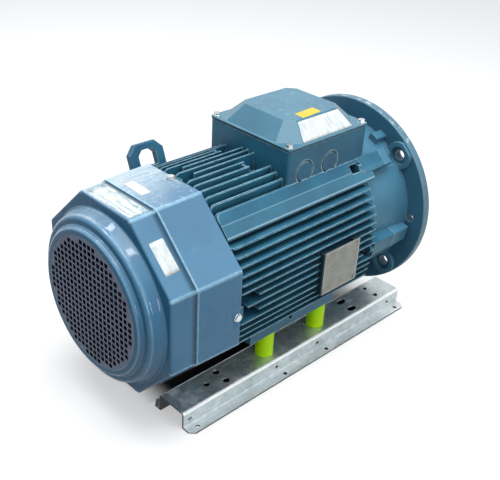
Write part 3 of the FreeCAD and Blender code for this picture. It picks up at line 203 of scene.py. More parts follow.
# Cast iron under satin enamel: sand-cast grain, dust on what faces up, thin paint and painted highlight along
# the edges, grime and painted shade in the crevices.
framePaint = {"deep": (0.017, 0.098, 0.168), "full": (0.025, 0.147, 0.236), "wornEdgeAndHighlight": (0.38, 0.60, 0.70),
              "grimeAndShade": (0.003, 0.014, 0.021), "dust": (0.17, 0.29, 0.34), "edge": 2.0 * mm, "gap": 16 * mm,
              "grain": 520.0, "pits": 170.0, "rough": 0.34, "knockouts": (-240.0 * mm, -181.5 * mm),
              "knockoutZ": 134.0 * mm, "groove": (15.6 * mm, 18.4 * mm), "grooveRim": (19.4 * mm, 20.2 * mm),
              "boxWall": (-90 * mm, -82 * mm), "platePads": 6 * mm, "bandStrip": (104 * mm, 119 * mm),
              "bandHeight": (92 * mm, 108.5 * mm), "bandLip": 2.4 * mm}


def enamelOnCasting(name, look):
    f = Finish(name)
    cloud = f.noise(14.0, 4.0)
    fine = f.noise(look["grain"], 2.0)
    pits = f.noise(look["pits"], 4.0, 0.6)
    speck = f.noise(90.0, 5.0, 0.7)
    rounded = f.rounded(look["edge"])
    edge = f.edges(rounded, 0.005, 0.07) * (0.45 + 0.55 * f.between(speck, 0.40, 0.58))
    # grime and painted shade deep in the crevices
    gap = f.between(f.crevices(look["gap"]), 0.28, 0.92)
    x, y, z = (f.along(axis) for axis in "XYZ")
    onWall = f.window(y, *look["boxWall"], 0.5 * mm) * f.between(f.facing("Y"), -0.4, -0.8)
    # the knock-outs: painted shade in each groove and a painted highlight round its rim
    groove, rims = 0.0, 0.0
    for middle in look["knockouts"]:
        apart = ((x - middle) ** 2.0 + (z - look["knockoutZ"]) ** 2.0) ** 0.5
        groove = groove + onWall * f.window(apart, *look["groove"], 0.7 * mm)
        rims = rims + onWall * f.window(apart, *look["grooveRim"], 0.7 * mm)
    # the corner bands: painted light, a paler lower strip with light lines along its lower edge and at the
    # crease above it
    away = f.size(y)
    inner, outer = look["bandStrip"]
    bottom, crease = look["bandHeight"]
    strip = f.window(away, inner, outer, 0.6 * mm) * f.window(z, bottom, crease, 0.6 * mm)
    lip = (f.window(away, outer - look["bandLip"], outer, 0.4 * mm)
           * f.window(z, bottom, bottom + look["bandLip"], 0.4 * mm))
    ridge = (f.window(away, inner - 0.8 * mm, inner + 0.4 * mm, 0.4 * mm)
             * f.window(z, crease - 2 * mm, crease, 0.4 * mm))
    band = strip * 0.05 + lip * 0.38 + ridge * 0.20
    # painted shadow on the two pads that carry the nameplate
    low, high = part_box("nameplate")
    reach = look["platePads"]
    pads = f.window(x, low.x - reach, high.x + reach, mm) * f.window(z, low.z - reach, high.z + reach, mm)
    pads = pads * (1 - f.between(y, high.y + reach, high.y + 2 * reach))
    up = f.between(f.facing("Z"), 0.55, 1.0) * f.between(f.noise(34.0, 5.0, 0.65), 0.42, 0.72)
    colour = f.mix(f.between(cloud, 0.3, 0.7), look["deep"], look["full"])
    colour = f.mix(up * 0.05, colour, look["dust"])
    colour = f.mix(gap * 0.85 + groove, colour, look["grimeAndShade"])
    # worn paint and painted highlight along the edges, painted highlight on the bands and round the
    # knock-outs
    colour = f.mix(edge * 0.8 + band + rims * (0.2 + 0.5 * f.between(speck, 0.42, 0.6)), colour, look["wornEdgeAndHighlight"])
    # painted shadow round the nameplate
    colour = f.mix(pads * 0.85, colour, look["grimeAndShade"])
    height = fine * 0.25 + pits * 0.75
    normal = f.bump(height, 0.28 * mm, rounded, 0.55)
    rough = look["rough"] + 0.14 * cloud + 0.25 * up + 0.2 * gap
    return f.close(Base_Color=colour, Roughness=rough, Normal=normal, Specular_IOR_Level=0.28)


paintedCasting = enamelOnCasting("paintedCasting", framePaint)
dress(paintedCasting, "stator_housing", "lifting_lug", "fan_end_shield", "drive_end_shield_screws",
      "fan_end_shield_screws")

# The flange's rim is knocked about: the enamel is chipped off it down to the primer and the metal.
# Its enamel is the frame's paint in a lighter tone, painted light where the drum faces the lamps; discShade
# darkens the back disc as painted shade.
flangePaint = {"deep": (0.048, 0.165, 0.255), "full": (0.066, 0.220, 0.332), "wornEdgeAndHighlight": (0.34, 0.55, 0.65),
               "rim": (172.0 * mm, 174.0 * mm), "primer": (0.46, 0.52, 0.54), "gap": 9 * mm, "rough": 0.32,
               "disc": (-17 * mm, -14 * mm), "discShade": (0.012, 0.062, 0.110)}


def enamelOnFlange(name, look):
    f = Finish(name)
    cloud = f.noise(11.0, 4.0)
    pits = f.noise(170.0, 4.0, 0.6)
    speck = f.noise(60.0, 6.0, 0.7)
    rounded = f.rounded(1.3 * mm)
    rim = f.between(f.fromShaft(), *look["rim"])
    disc = f.between(f.along("X"), *look["disc"])
    edge = f.edges(rounded, 0.004, 0.08)
    scraped = f.between(f.facing("Z"), 0.55, 1.0)
    chips = rim * f.between(speck + 0.10 * scraped, 0.62, 0.66)
    # grime and painted shade in the crevices
    gap = f.between(f.crevices(look["gap"]), 0.35, 1.0)
    colour = f.mix(f.between(cloud, 0.3, 0.7), look["deep"], look["full"])
    colour = f.mix(disc * 0.65, colour, look["discShade"])
    colour = f.mix(gap * 0.8, colour, framePaint["grimeAndShade"])
    # worn paint and painted highlight along the edges, a painted highlight on the rim
    colour = f.mix(edge * 0.55 + rim * 0.18, colour, look["wornEdgeAndHighlight"])
    colour = f.mix(chips * 0.8, colour, look["primer"])
    normal = f.bump(pits - 0.5 * chips, 0.3 * mm, rounded, 0.5)
    rough = look["rough"] + 0.16 * cloud + 0.2 * chips
    return f.close(Base_Color=colour, Roughness=rough, Normal=normal, Specular_IOR_Level=0.35)


dress(enamelOnFlange("paintedFlange", flangePaint), "drive_end_flange_shield")

# Smooth enamel over pressed sheet or a die casting: orange peel, faint scuffs, and pale corners of worn paint
# and painted highlight.
coverPaint = {"deep": (0.030, 0.150, 0.280), "full": (0.042, 0.185, 0.335), "wornEdgeAndHighlight": (0.30, 0.52, 0.68),
              "edge": 1.6 * mm, "peel": 260.0, "rough": 0.22, "scuff": (0.42, 0.56, 0.66), "topScuff": 0.5,
              "dust": (0.48, 0.54, 0.56), "dustAndSheen": 0.12, "haze": 0.62, "joint": (0.012, 0.050, 0.085)}
lidPaint = {"deep": (0.040, 0.150, 0.225), "full": (0.058, 0.195, 0.285), "wornEdgeAndHighlight": (0.28, 0.48, 0.58),
            "edge": 2.0 * mm, "peel": 300.0, "rough": 0.30, "scuff": (0.30, 0.44, 0.51), "topScuff": 0.3,
            "dust": (0.30, 0.40, 0.45), "dustAndSheen": 0.05, "haze": 0.0, "joint": (0.012, 0.050, 0.085)}
hazeColour = (0.56, 0.64, 0.66)


def enamelOnSheet(name, look):
    f = Finish(name)
    cloud = f.noise(9.0, 3.0)
    peel = f.noise(look["peel"], 2.0, 0.5)
    scratches = f.noise(60.0, 6.0, 0.75, f.stretch(0.25, 3.0, 1.6), 1.2)
    flecks = f.noise(120.0, 5.0, 0.7)
    rounded = f.rounded(look["edge"])
    edge = f.edges(rounded, 0.004, 0.10) * (0.35 + 0.65 * f.between(flecks, 0.40, 0.62))
    fold = f.node("ShaderNodeAttribute", {"attribute_name": "fold"}, {}, "Fac")
    joint = f.node("ShaderNodeAttribute", {"attribute_name": "joint"}, {}, "Fac")
    up = f.between(f.facing("Z"), 0.8, 1.0)
    slope = f.between(f.facing("Z"), 0.25, 0.75)
    under = f.between(f.facing("Z"), -0.1, -0.6)
    front = f.between(f.facing("X"), -0.90, -0.99)      # flat faces at the air inlet: painted shade and a thinner coat
    wiped = f.noise(70.0, 5.0, 0.7, f.stretch(0.3, 2.6, 1.0), 0.5)
    haze = up * f.between(f.along("Y"), -50 * mm, 45 * mm) * (0.35 + 0.65 * f.between(wiped, 0.36, 0.60))
    scuff = up * f.between(flecks, 0.52, 0.70) * look["topScuff"] + 0.25 * f.between(scratches, 0.62, 0.72)
    colour = f.mix(f.between(cloud, 0.3, 0.7), look["deep"], look["full"])
    # dust, and a painted sheen on the sloping faces
    colour = f.mix(slope * look["dustAndSheen"], colour, look["dust"])
    # painted shade on what faces down and on the inlet's flat faces
    colour = f.mix(under * 0.25 + front * 0.45, colour, look["joint"])
    colour = f.mix(scuff, colour, look["scuff"])
    colour = f.mix(haze * look["haze"], colour, hazeColour)
    # painted shade in the joggle's foot
    colour = f.mix(joint * 0.8, colour, look["joint"])
    # worn paint and painted highlight along the edges, the corners, the joggle and the rolls' crowns
    colour = f.mix(edge * 0.55 + fold * (0.45 + 0.30 * f.between(flecks, 0.4, 0.6)), colour, look["wornEdgeAndHighlight"])
    normal = f.bump(peel, 0.05 * mm, rounded, 0.35)
    rough = look["rough"] + 0.10 * cloud + 0.25 * scuff
    coat = 0.45 * (1 - 0.9 * under) * (1 - 0.95 * front)
    return f.close(Base_Color=colour, Roughness=rough, Normal=normal, Specular_IOR_Level=0.09,
                   Coat_Weight=coat, Coat_Roughness=0.08)


coverEnamel = enamelOnSheet("coverEnamel", coverPaint)
dress(coverEnamel, "fan_cover")
dress(enamelOnSheet("lidEnamel", lidPaint), "terminal_box_lid")

# Hot-dip galvanised sheet: spangle, a dull bloom and handling marks.
zincSheet = {"dark": (0.36, 0.42, 0.44), "bright": (0.72, 0.79, 0.81), "bloom": (0.80, 0.85, 0.86),
             "spangle": 160.0, "edge": 0.9 * mm, "bend": (4.0 * mm, 0.7 * mm), "rubbed": (0.92, 0.95, 0.96),
             "sheet": 3.0 * mm, "lip": 20.0 * mm, "cut": (0.030, 0.035, 0.036)}


def galvanised(name, look):
    f = Finish(name)
    warp = f.noise(35.0, 3.0)
    cells = f.node("ShaderNodeTexVoronoi", {"feature": "F1"},
                   {"Vector": f.stretch(1.0, 1.0, 1.0), "Scale": look["spangle"], "Randomness": 1.0}, "Color")
    spangle = f.node("ShaderNodeSeparateColor", {}, {0: cells}, "Red")
    cloud = f.noise(18.0, 5.0, 0.6)
    fine = f.noise(700.0, 2.0)
    grit = f.noise(420.0, 4.0, 0.8)
    rounded = f.rounded(look["edge"])
    low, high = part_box("near_base_rail")
    z = f.along("Z")
    # the top bends are rubbed bright; the sawn ends are dark; the lips' edges are darkened as a painted
    # contact shadow and the channel's inside as painted shade
    bend = f.window(z, high.z - look["bend"][0], high.z - look["bend"][1], 0.6 * mm)
    lip = 1 - f.between(z, low.z + look["sheet"], low.z + look["sheet"] + 0.3 * mm)
    endwise = f.between(f.size(f.facing("X")), 0.6, 0.9)
    cut = endwise + lip * f.between(f.size(f.facing("Y")), 0.6, 0.9)
    channel = (high.y - low.y) / 2 - look["lip"] - look["sheet"]
    fromMiddle = f.size(f.size(f.along("Y")) + (low.y + high.y) / 2)
    inner = (1 - f.between(fromMiddle, channel + 0.3 * mm, channel + 0.8 * mm)) * (
        1 - f.between(z, high.z - look["sheet"] + 0.2 * mm, high.z - look["sheet"] + 0.6 * mm))
    tone = 0.35 * spangle + 0.40 * f.between(cloud, 0.25, 0.75) + 0.25 * f.between(grit, 0.35, 0.65)
    colour = f.mix(tone, look["dark"], look["bright"])
    bloom = f.between(f.noise(26.0, 6.0, 0.7), 0.52, 0.72)
    # bloom in patches, and a painted sheen on the lips
    colour = f.mix(bloom * 0.5 + lip * 0.35, colour, look["bloom"])
    colour = f.mix(bend * 0.85, colour, look["rubbed"])
    # dark sawn ends; painted contact shadow on the lips' edges and painted shade inside the channel
    colour = f.mix(cut + inner * 0.9, colour, look["cut"])
    normal = f.bump(fine * 0.4 + spangle * 0.3 + warp * 0.6, 0.06 * mm, rounded, 0.5)
    rough = 0.32 + 0.16 * spangle + 0.22 * bloom
    metal = (0.75 - 0.35 * bloom) * (1 - 0.8 * inner)
    return f.close(Base_Color=colour, Metallic=metal, Roughness=rough, Normal=normal)


dress(galvanised("galvanisedSheet", zincSheet), "near_base_rail", "far_base_rail")

# Coatings of one colour: gloss, grain, a little wear. Each entry is one finish and the nodes that have it.
coatings = [
    {"name": "limeCoat", "colour": (0.60, 1.0, 0.002), "deep": (0.50, 1.0, 0.001), "rough": 0.16,
     "metal": 0.0, "grain": 240.0, "depth": 0.05 * mm, "worn": (0.55, 0.80, 0.20), "edge": 1.2 * mm,
     "specular": 0.15, "nodes": ["spacer_sleeves"]},
    {"name": "sealRubber", "colour": (0.020, 0.020, 0.021), "deep": (0.012, 0.012, 0.012), "rough": 0.62,
     "metal": 0.0, "grain": 500.0, "depth": 0.05 * mm, "worn": (0.07, 0.07, 0.07), "edge": 0.6 * mm,
     "nodes": ["drive_end_seal_ring", "fan_end_seal_ring"]},
    {"name": "paintedRubber", "colour": (0.010, 0.040, 0.062), "deep": (0.006, 0.026, 0.042), "rough": 0.50,
     "metal": 0.0, "grain": 500.0, "depth": 0.05 * mm, "worn": (0.10, 0.20, 0.26), "edge": 0.6 * mm,
     "nodes": ["lid_gasket"]},
    {"name": "boardMoulding", "colour": (0.13, 0.060, 0.028), "deep": (0.085, 0.040, 0.018), "rough": 0.42,
     "metal": 0.0, "grain": 420.0, "depth": 0.06 * mm, "worn": (0.25, 0.16, 0.10), "edge": 0.6 * mm,
     "nodes": ["terminal_board"]},
    {"name": "fanMoulding", "colour": (0.016, 0.017, 0.020), "deep": (0.010, 0.010, 0.012), "rough": 0.55,
     "metal": 0.0, "grain": 300.0, "depth": 0.08 * mm, "worn": (0.12, 0.12, 0.12), "edge": 0.8 * mm,
     "nodes": ["cooling_fan"]},
    {"name": "coatedGrille", "colour": (0.095, 0.135, 0.222), "deep": (0.064, 0.096, 0.165), "rough": 0.34,
     "metal": 0.0, "grain": 600.0, "depth": 0.04 * mm, "worn": (0.22, 0.27, 0.36), "edge": 0.3 * mm,
     "specular": 0.2, "sides": (0.006, 0.008, 0.012), "nodes": ["fan_inlet_grille"]},
    {"name": "coverInside", "colour": (0.012, 0.018, 0.026), "deep": (0.007, 0.010, 0.015), "rough": 0.60,
     "metal": 0.0, "grain": 300.0, "depth": 0.05 * mm, "worn": (0.05, 0.06, 0.07), "edge": 0.6 * mm,
     "nodes": []},
    {"name": "brightZinc", "colour": (0.68, 0.71, 0.72), "deep": (0.42, 0.45, 0.47), "rough": 0.18,
     "metal": 1.0, "grain": 350.0, "depth": 0.04 * mm, "worn": (0.86, 0.86, 0.84), "edge": 0.5 * mm,
     "nodes": ["bearing_cover_screws", "fan_cover_screws", "lid_screws", "lifting_lug_studs",
               "sleeve_bolts"]},
    {"name": "turnedBrass", "colour": (0.72, 0.50, 0.20), "deep": (0.50, 0.33, 0.12), "rough": 0.24,
     "metal": 1.0, "grain": 420.0, "depth": 0.03 * mm, "worn": (0.90, 0.72, 0.40), "edge": 0.4 * mm,
     "nodes": ["terminal_studs", "terminal_links", "terminal_nuts", "earth_screw", "drive_end_ball_cage",
               "fan_end_ball_cage"]},
    {"name": "groundBearing", "colour": (0.66, 0.67, 0.69), "deep": (0.56, 0.57, 0.60), "rough": 0.10,
     "metal": 1.0, "grain": 300.0, "depth": 0.01 * mm, "worn": (0.80, 0.80, 0.82), "edge": 0.4 * mm,
     "nodes": ["drive_end_outer_ring", "fan_end_outer_ring", "drive_end_inner_ring", "fan_end_inner_ring",
               "drive_end_balls", "fan_end_balls"]},
    {"name": "oiledSpring", "colour": (0.17, 0.17, 0.18), "deep": (0.09, 0.09, 0.10), "rough": 0.32,
     "metal": 0.9, "grain": 380.0, "depth": 0.03 * mm, "worn": (0.45, 0.45, 0.46), "edge": 0.4 * mm,
     "nodes": ["wave_spring", "bearing_circlip", "fan_circlip"]},
    {"name": "machinedIron", "colour": (0.26, 0.26, 0.26), "deep": (0.17, 0.17, 0.17), "rough": 0.40,
     "metal": 0.8, "grain": 260.0, "depth": 0.06 * mm, "worn": (0.50, 0.50, 0.50), "edge": 0.6 * mm,
     "nodes": ["drive_end_bearing_cover", "fan_end_bearing_cover"]},
    {"name": "castAluminium", "colour": (0.68, 0.69, 0.70), "deep": (0.50, 0.51, 0.53), "rough": 0.38,
     "metal": 1.0, "grain": 200.0, "depth": 0.10 * mm, "worn": (0.84, 0.84, 0.85), "edge": 0.8 * mm,
     "nodes": ["rotor_cage"]},
]


def coating(look):
    f = Finish(look["name"])
    cloud = f.noise(30.0, 4.0)
    grain = f.noise(look["grain"], 3.0)
    marks = f.noise(150.0, 6.0, 0.7)
    rounded = f.rounded(look["edge"])
    edge = f.edges(rounded, 0.02, 0.25) * f.between(marks, 0.35, 0.6)
    colour = f.mix(f.between(cloud, 0.3, 0.7), look["deep"], look["colour"])
    colour = f.mix(edge * 0.6, colour, look["worn"])
    # painted shade on the walls of the grille's holes
    if "sides" in look:     # what doesn't face along the shaft
        colour = f.mix(1 - f.between(f.size(f.facing("X")), 0.3, 0.8), colour, look["sides"])
    normal = f.bump(grain, look["depth"], rounded, 0.4)
    return f.close(Base_Color=colour, Metallic=look["metal"], Roughness=look["rough"] + 0.12 * marks,
                   Normal=normal, Specular_IOR_Level=look.get("specular", 0.5))


coatingFinishes = {}
for look in coatings:
    coatingFinishes[look["name"]] = coating(look)
    dress(coatingFinishes[look["name"]], *look["nodes"])

# Turned steel has fine rings about the shaft's axis, and the sheet cores have lines across it. Both read the
# distance along x.
steelLooks = [
    {"name": "groundShaft", "colour": (0.58, 0.58, 0.59), "dark": (0.40, 0.40, 0.42), "pitch": 0.35 * mm,
     "rough": 0.22, "depth": 0.015 * mm, "nodes": ["shaft", "fan_key"]},
    {"name": "sheetStack", "colour": (0.36, 0.37, 0.40), "dark": (0.12, 0.12, 0.14), "pitch": 0.9 * mm,
     "rough": 0.42, "depth": 0.12 * mm, "nodes": ["stator_core", "rotor_core"]},
]


def ringedSteel(look):
    f = Finish(look["name"])
    ring = f.maths("PINGPONG", f.along("X"), look["pitch"]) / look["pitch"]
    cloud = f.noise(40.0, 4.0)
    rounded = f.rounded(0.6 * mm)
    edge = f.edges(rounded, 0.02, 0.25)
    colour = f.mix(0.4 * ring + 0.6 * f.between(cloud, 0.3, 0.7), look["dark"], look["colour"])
    colour = f.mix(edge * 0.5, colour, (0.75, 0.75, 0.76))
    normal = f.bump(ring, look["depth"], rounded, 0.5)
    return f.close(Base_Color=colour, Metallic=1.0, Roughness=look["rough"] + 0.15 * cloud, Normal=normal)


for look in steelLooks:
    dress(ringedSteel(look), *look["nodes"])

# Varnished copper: wires side by side round the axis, tied every few turns.
copperLook = {"wire": (0.60, 0.20, 0.060), "varnish": (0.30, 0.080, 0.022), "gauge": 1.3 * mm,
              "wander": 3 * mm, "tie": (0.62, 0.56, 0.42), "ties": 36}


def woundCopper(name, look):
    f = Finish(name)
    wander = f.noise(55.0, 3.0)
    out = f.fromShaft() + look["wander"] * wander
    strand = f.maths("PINGPONG", out, look["gauge"]) / look["gauge"]
    turn = f.maths("ARCTAN2", f.along("Z"), f.along("Y")) * (look["ties"] / (2 * math.pi))
    tie = f.between(f.maths("PINGPONG", turn, 0.5), 0.42, 0.46)
    colour = f.mix(strand, look["varnish"], look["wire"])
    colour = f.mix(tie, colour, look["tie"])
    normal = f.bump(strand + 0.6 * tie, 0.5 * mm, None, 0.7)
    return f.close(Base_Color=colour, Metallic=0.5 - 0.5 * tie, Roughness=0.34 + 0.3 * tie, Normal=normal)


dress(woundCopper("woundCopper", copperLook), "stator_winding")

# The blank nameplate: steel brushed along its length, stained, with a raised border and empty ruled fields.
plateLook = {"steel": (0.270, 0.280, 0.250), "dull": (0.185, 0.195, 0.175), "border": 3.2 * mm,
             "rows": 9.0 * mm, "line": (0.06, 0.065, 0.06), "rubbed": (0.46, 0.46, 0.43)}


def brushedPlate(name, look):
    f = Finish(name)
    brush = f.noise(900.0, 2.0, 0.5, f.stretch(0.05, 1.0, 1.0))
    stain = f.noise(45.0, 5.0, 0.65)
    low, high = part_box("nameplate")
    x = f.along("X")
    z = f.along("Z")
    fromSide = f.maths("MINIMUM", x - low.x, high.x - x)
    fromEnd = f.maths("MINIMUM", z - low.z, high.z - z)
    inside = f.maths("MINIMUM", fromSide, fromEnd)
    border = 1 - f.between(inside, 0.8 * look["border"], look["border"])
    row = f.maths("PINGPONG", z - low.z - look["border"], look["rows"] / 2)
    ruled = (1 - border) * (1 - f.between(row, 0.25 * mm, 0.6 * mm))
    rounded = f.rounded(0.5 * mm)
    colour = f.mix(f.between(stain, 0.3, 0.7), look["dull"], look["steel"])
    colour = f.mix(ruled * 0.30, colour, look["line"])
    colour = f.mix(border * 0.35, colour, look["rubbed"])
    normal = f.bump(brush * 0.3 + border, 0.12 * mm, rounded, 0.6)
    return f.close(Base_Color=colour, Metallic=0.55, Roughness=0.36 + 0.2 * stain, Normal=normal)


dress(brushedPlate("brushedPlate", plateLook), "nameplate", "nameplate_rivets")
print("finishes on the construction's nodes: done")


# New pieces

def meshPiece(name, points, faces, material, body):
    mesh = bpy.data.meshes.new(name)
    mesh.from_pydata(points.tolist(), [], faces.tolist())
    mesh.polygons.foreach_set("use_smooth", np.full(len(mesh.polygons), True))
    mesh.materials.append(material)
    mesh.update()
    piece = bpy.data.objects.new(name, mesh)
    bpy.context.scene.collection.objects.link(piece)
    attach(piece, body)
    return piece


def gridFaces(rows, columns, closed):
    # quads of a grid whose points run along the columns first; a closed grid also joins its two ends
    row = np.arange(rows - 1)[:, None]
    column = np.arange(columns if closed else columns - 1)[None, :]
    after = (column + 1) % columns
    a = row * columns + column
    b = row * columns + after
    return np.stack([a, b, b + columns, a + columns], -1).reshape(-1, 4)


# The fan cover, pressed from sheet: sizes in metres, from the edge over the frame to the inlet. The rows are
# counted for each stretch, and a crown is the share of a roll that gets a painted highlight.
coverShape = {"centreZ": -9 * mm, "edgeX": -427 * mm, "stepX": -506.9 * mm, "faceX": -550.3 * mm,
              "halfWidth": 148.4 * mm, "top": 142.8 * mm, "low": -153.1 * mm, "topCornerY": 58.8 * mm,
              "sideHighZ": 56.5 * mm, "sideLowZ": -68.7 * mm, "lowCornerY": 68.2 * mm, "draft": 3.5 * mm,
              "step": 2.2 * mm, "stepRun": 3.0 * mm, "corner": 4.5 * mm, "rim": 3.2 * mm, "sheet": 2.5 * mm,
              "baseR": 136.0 * mm, "shoulderR": 130.0 * mm, "shoulderX": -573.0 * mm,
              "shoulderRoll": 8.0 * mm, "lipR": 115.0 * mm, "frontX": -581.5 * mm, "lipRoll": 6.0 * mm,
              "lipFoot": 2.2 * mm, "lipDraft": 1.5 * mm, "inletR": 103.5 * mm, "baseFillet": 3.0 * mm,
              "screwX": -433.0 * mm, "screwZ": -18.0 * mm, "dimple": 0.9 * mm, "dimpleR": 10.5 * mm,
              "dimpleWidth": 2.6 * mm, "wallBeyond": 120 * mm, "screwBand": 24 * mm, "wallStart": 30 * mm,
              "wallStop": 3 * mm, "aboveStep": 2 * mm, "belowStep": 1 * mm, "besideEdge": 1.0 * mm,
              "shoulderCrown": (0.2, 0.4), "lipCrown": (0.4, 0.6), "sidePoints": 44, "arcPoints": 8,
              "rows": {"screws": 17, "wall": 8, "step": 7, "front": 7, "rim": 7, "face": 7, "foot": 6,
                       "bossWall": 7, "shoulder": 9, "lipFoot": 5, "lip": 8}}


def coverLoop(s):
    # the octagon's corners (y, z), the outward normal of the side that follows each, and the points per side
    # and per corner
    side = (s["halfWidth"], s["sideHighZ"])
    top = (s["topCornerY"], s["top"])
    low = (s["lowCornerY"], s["low"])
    sideLow = (s["halfWidth"], s["sideLowZ"])
    corners = np.array([side, top, (-top[0], top[1]), (-side[0], side[1]), (-sideLow[0], sideLow[1]),
                        (-low[0], low[1]), low, sideLow])
    along = np.roll(corners, -1, 0) - corners
    normals = np.stack([along[:, 1], -along[:, 0]], 1)
    normals /= np.linalg.norm(normals, axis=1)[:, None]
    return corners, normals, s["sidePoints"], s["arcPoints"]


def coverRing(loop, grow, radius):
    # Formula: each side is moved out by grow along its normal, neighbours meet in corners, and a corner is an
    # arc of the given radius between the two normals: centre + radius (cos, sin). Sides run straight between.
    corners, normals, perSide, perCorner = loop
    before = np.roll(normals, 1, 0)
    reach = grow - radius
    meet = (before + normals) / (1 + np.sum(before * normals, 1))[:, None]
    centres = corners + meet * reach
    start = np.arctan2(before[:, 1], before[:, 0])
    turn = (np.arctan2(normals[:, 1], normals[:, 0]) - start + math.pi) % (2 * math.pi) - math.pi
    t = np.linspace(0, 1, perCorner)
    angle = start[:, None] + turn[:, None] * t[None, :]
    arcs = centres[:, None, :] + radius * np.stack([np.cos(angle), np.sin(angle)], -1)
    share = np.linspace(0, 1, perSide + 2)[1:-1]
    first = arcs[:, -1, :]
    last = np.roll(arcs[:, 0, :], -1, 0)
    sides = first[:, None, :] + (last - first)[:, None, :] * share[None, :, None]
    return np.concatenate([arcs, sides], 1).reshape(-1, 2)


def pressedCover(s):
    # Formula: rings of points (x, ring(grow, radius)) from the edge to the face; the face runs straight from
    # the octagon to the boss's circle; the boss is a profile (x, r) turned about its own centre.
    loop = coverLoop(s)
    rows = s["rows"]
    rings = []

    def body(x, grow, radius):
        outline = coverRing(loop, grow, radius)
        rings.append(np.column_stack([np.full(len(outline), x), outline]))

    def draftAt(x):
        return s["draft"] * (x - s["faceX"]) / (s["edgeX"] - s["faceX"])

    # rows lie closer together round the screws than along the rest of the body
    byScrews = np.linspace(s["edgeX"], s["edgeX"] - s["screwBand"], rows["screws"])
    alongWall = np.linspace(s["edgeX"] - s["wallStart"], s["stepX"] + s["wallStop"], rows["wall"])
    for x in [*byScrews, *alongWall, s["stepX"] + s["aboveStep"]]:
        body(x, draftAt(x), s["corner"])
    firstOfStep = len(rings)
    for t in np.linspace(0, 1, rows["step"]):
        x = s["stepX"] - s["stepRun"] * t
        fall = (1 - math.cos(math.pi * t)) / 2
        body(x, draftAt(x) - s["step"] * fall, s["corner"])
    lastX = s["faceX"] + s["rim"]
    for x in np.linspace(s["stepX"] - s["stepRun"] - s["belowStep"], lastX, rows["front"]):
        body(x, draftAt(x) - s["step"], s["corner"])
    for t in np.linspace(0, 1, rows["rim"])[1:]:
        lean = t * math.pi / 2
        inward = s["rim"] * (1 - math.cos(lean))
        body(lastX - s["rim"] * math.sin(lean), draftAt(lastX) - s["step"] - inward, s["corner"] - inward)
    face = rings[-1][:, 1:]
    bodyRows = len(rings)
    centre = np.array([0.0, s["centreZ"]])
    ray = face - centre
    ray /= np.linalg.norm(ray, axis=1)[:, None]

    def boss(x, r):
        rings.append(np.column_stack([np.full(len(ray), x), centre + ray * r]))

    foot = s["baseR"] + s["baseFillet"]
    for t in np.linspace(0, 1, rows["face"])[1:]:
        outline = face + (centre + ray * foot - face) * t
        rings.append(np.column_stack([np.full(len(ray), s["faceX"]), outline]))
    for t in np.linspace(0, 1, rows["foot"])[1:]:
        lean = t * math.pi / 2
        boss(s["faceX"] - s["baseFillet"] * (1 - math.cos(lean)), foot - s["baseFillet"] * math.sin(lean))
    roll = s["shoulderRoll"]
    wallEnd = s["shoulderX"] + roll
    for t in np.linspace(0, 1, rows["bossWall"])[1:]:
        boss(s["faceX"] - s["baseFillet"] + (wallEnd - s["faceX"] + s["baseFillet"]) * t,
             s["baseR"] + (s["shoulderR"] - s["baseR"]) * t)
    rubbed = []     # the rows on the crowns of the two rolls, which get a painted highlight
    crownStart, crownEnd = s["shoulderCrown"]
    for t in np.linspace(0, 1, rows["shoulder"])[1:]:
        lean = t * math.pi / 2
        if crownStart < t < crownEnd:
            rubbed.append(len(rings))
        boss(wallEnd - roll * math.sin(lean), s["shoulderR"] - roll * (1 - math.cos(lean)))
    well = s["lipFoot"]
    lipFoot = s["lipR"] + s["lipDraft"] + well
    boss(s["shoulderX"], lipFoot + s["besideEdge"])
    for t in np.linspace(0, 1, rows["lipFoot"]):
        lean = t * math.pi / 2
        boss(s["shoulderX"] - well * (1 - math.cos(lean)), lipFoot - well * math.sin(lean))
    roll = s["lipRoll"]
    crownStart, crownEnd = s["lipCrown"]
    for t in np.linspace(0, 1, rows["lip"]):
        lean = t * math.pi / 2
        if crownStart < t < crownEnd:
            rubbed.append(len(rings))
        boss(s["frontX"] + roll * (1 - math.sin(lean)), s["lipR"] - roll * (1 - math.cos(lean)))
    boss(s["frontX"], s["inletR"] + s["besideEdge"])
    boss(s["frontX"], s["inletR"])
    points = np.stack(rings)
    grid = points.reshape(-1, 3)
    # Formula: round each screw a shallow ring is pressed in by depth * exp(-((away - radius) / width) ** 2).
    # One screw is on top, at y = 0, and one on each side, at screwZ. Axes 0, 1, 2 are x, y, z.
    for across, place, through, way in ((1, 0.0, 2, 1), (2, s["screwZ"], 1, -1), (2, s["screwZ"], 1, 1)):
        away = np.hypot(grid[:, 0] - s["screwX"], grid[:, across] - place)
        onWall = grid[:, through] * way > s["wallBeyond"]
        press = s["dimple"] * np.exp(-((away - s["dimpleR"]) / s["dimpleWidth"]) ** 2) * onWall
        grid[:, through] -= way * press
    # marks in the paint: fold is pale, a painted highlight with some worn paint along the corners, a painted
    # highlight over the joggle and, half as much, on the crowns' rows; the dark mark is painted shade in the
    # joggle's foot
    fold = np.zeros(points.shape[:2])
    fold[:bodyRows] = np.tile(np.append(np.ones(s["arcPoints"]), np.zeros(s["sidePoints"])), len(loop[0]))
    fold[firstOfStep - 1:firstOfStep + 1] = 1.0
    fold[rubbed] = 0.5
    joint = np.zeros(points.shape[:2])
    joint[firstOfStep + 2:firstOfStep + rows["step"] + 1] = 1.0
    return grid, fold, joint


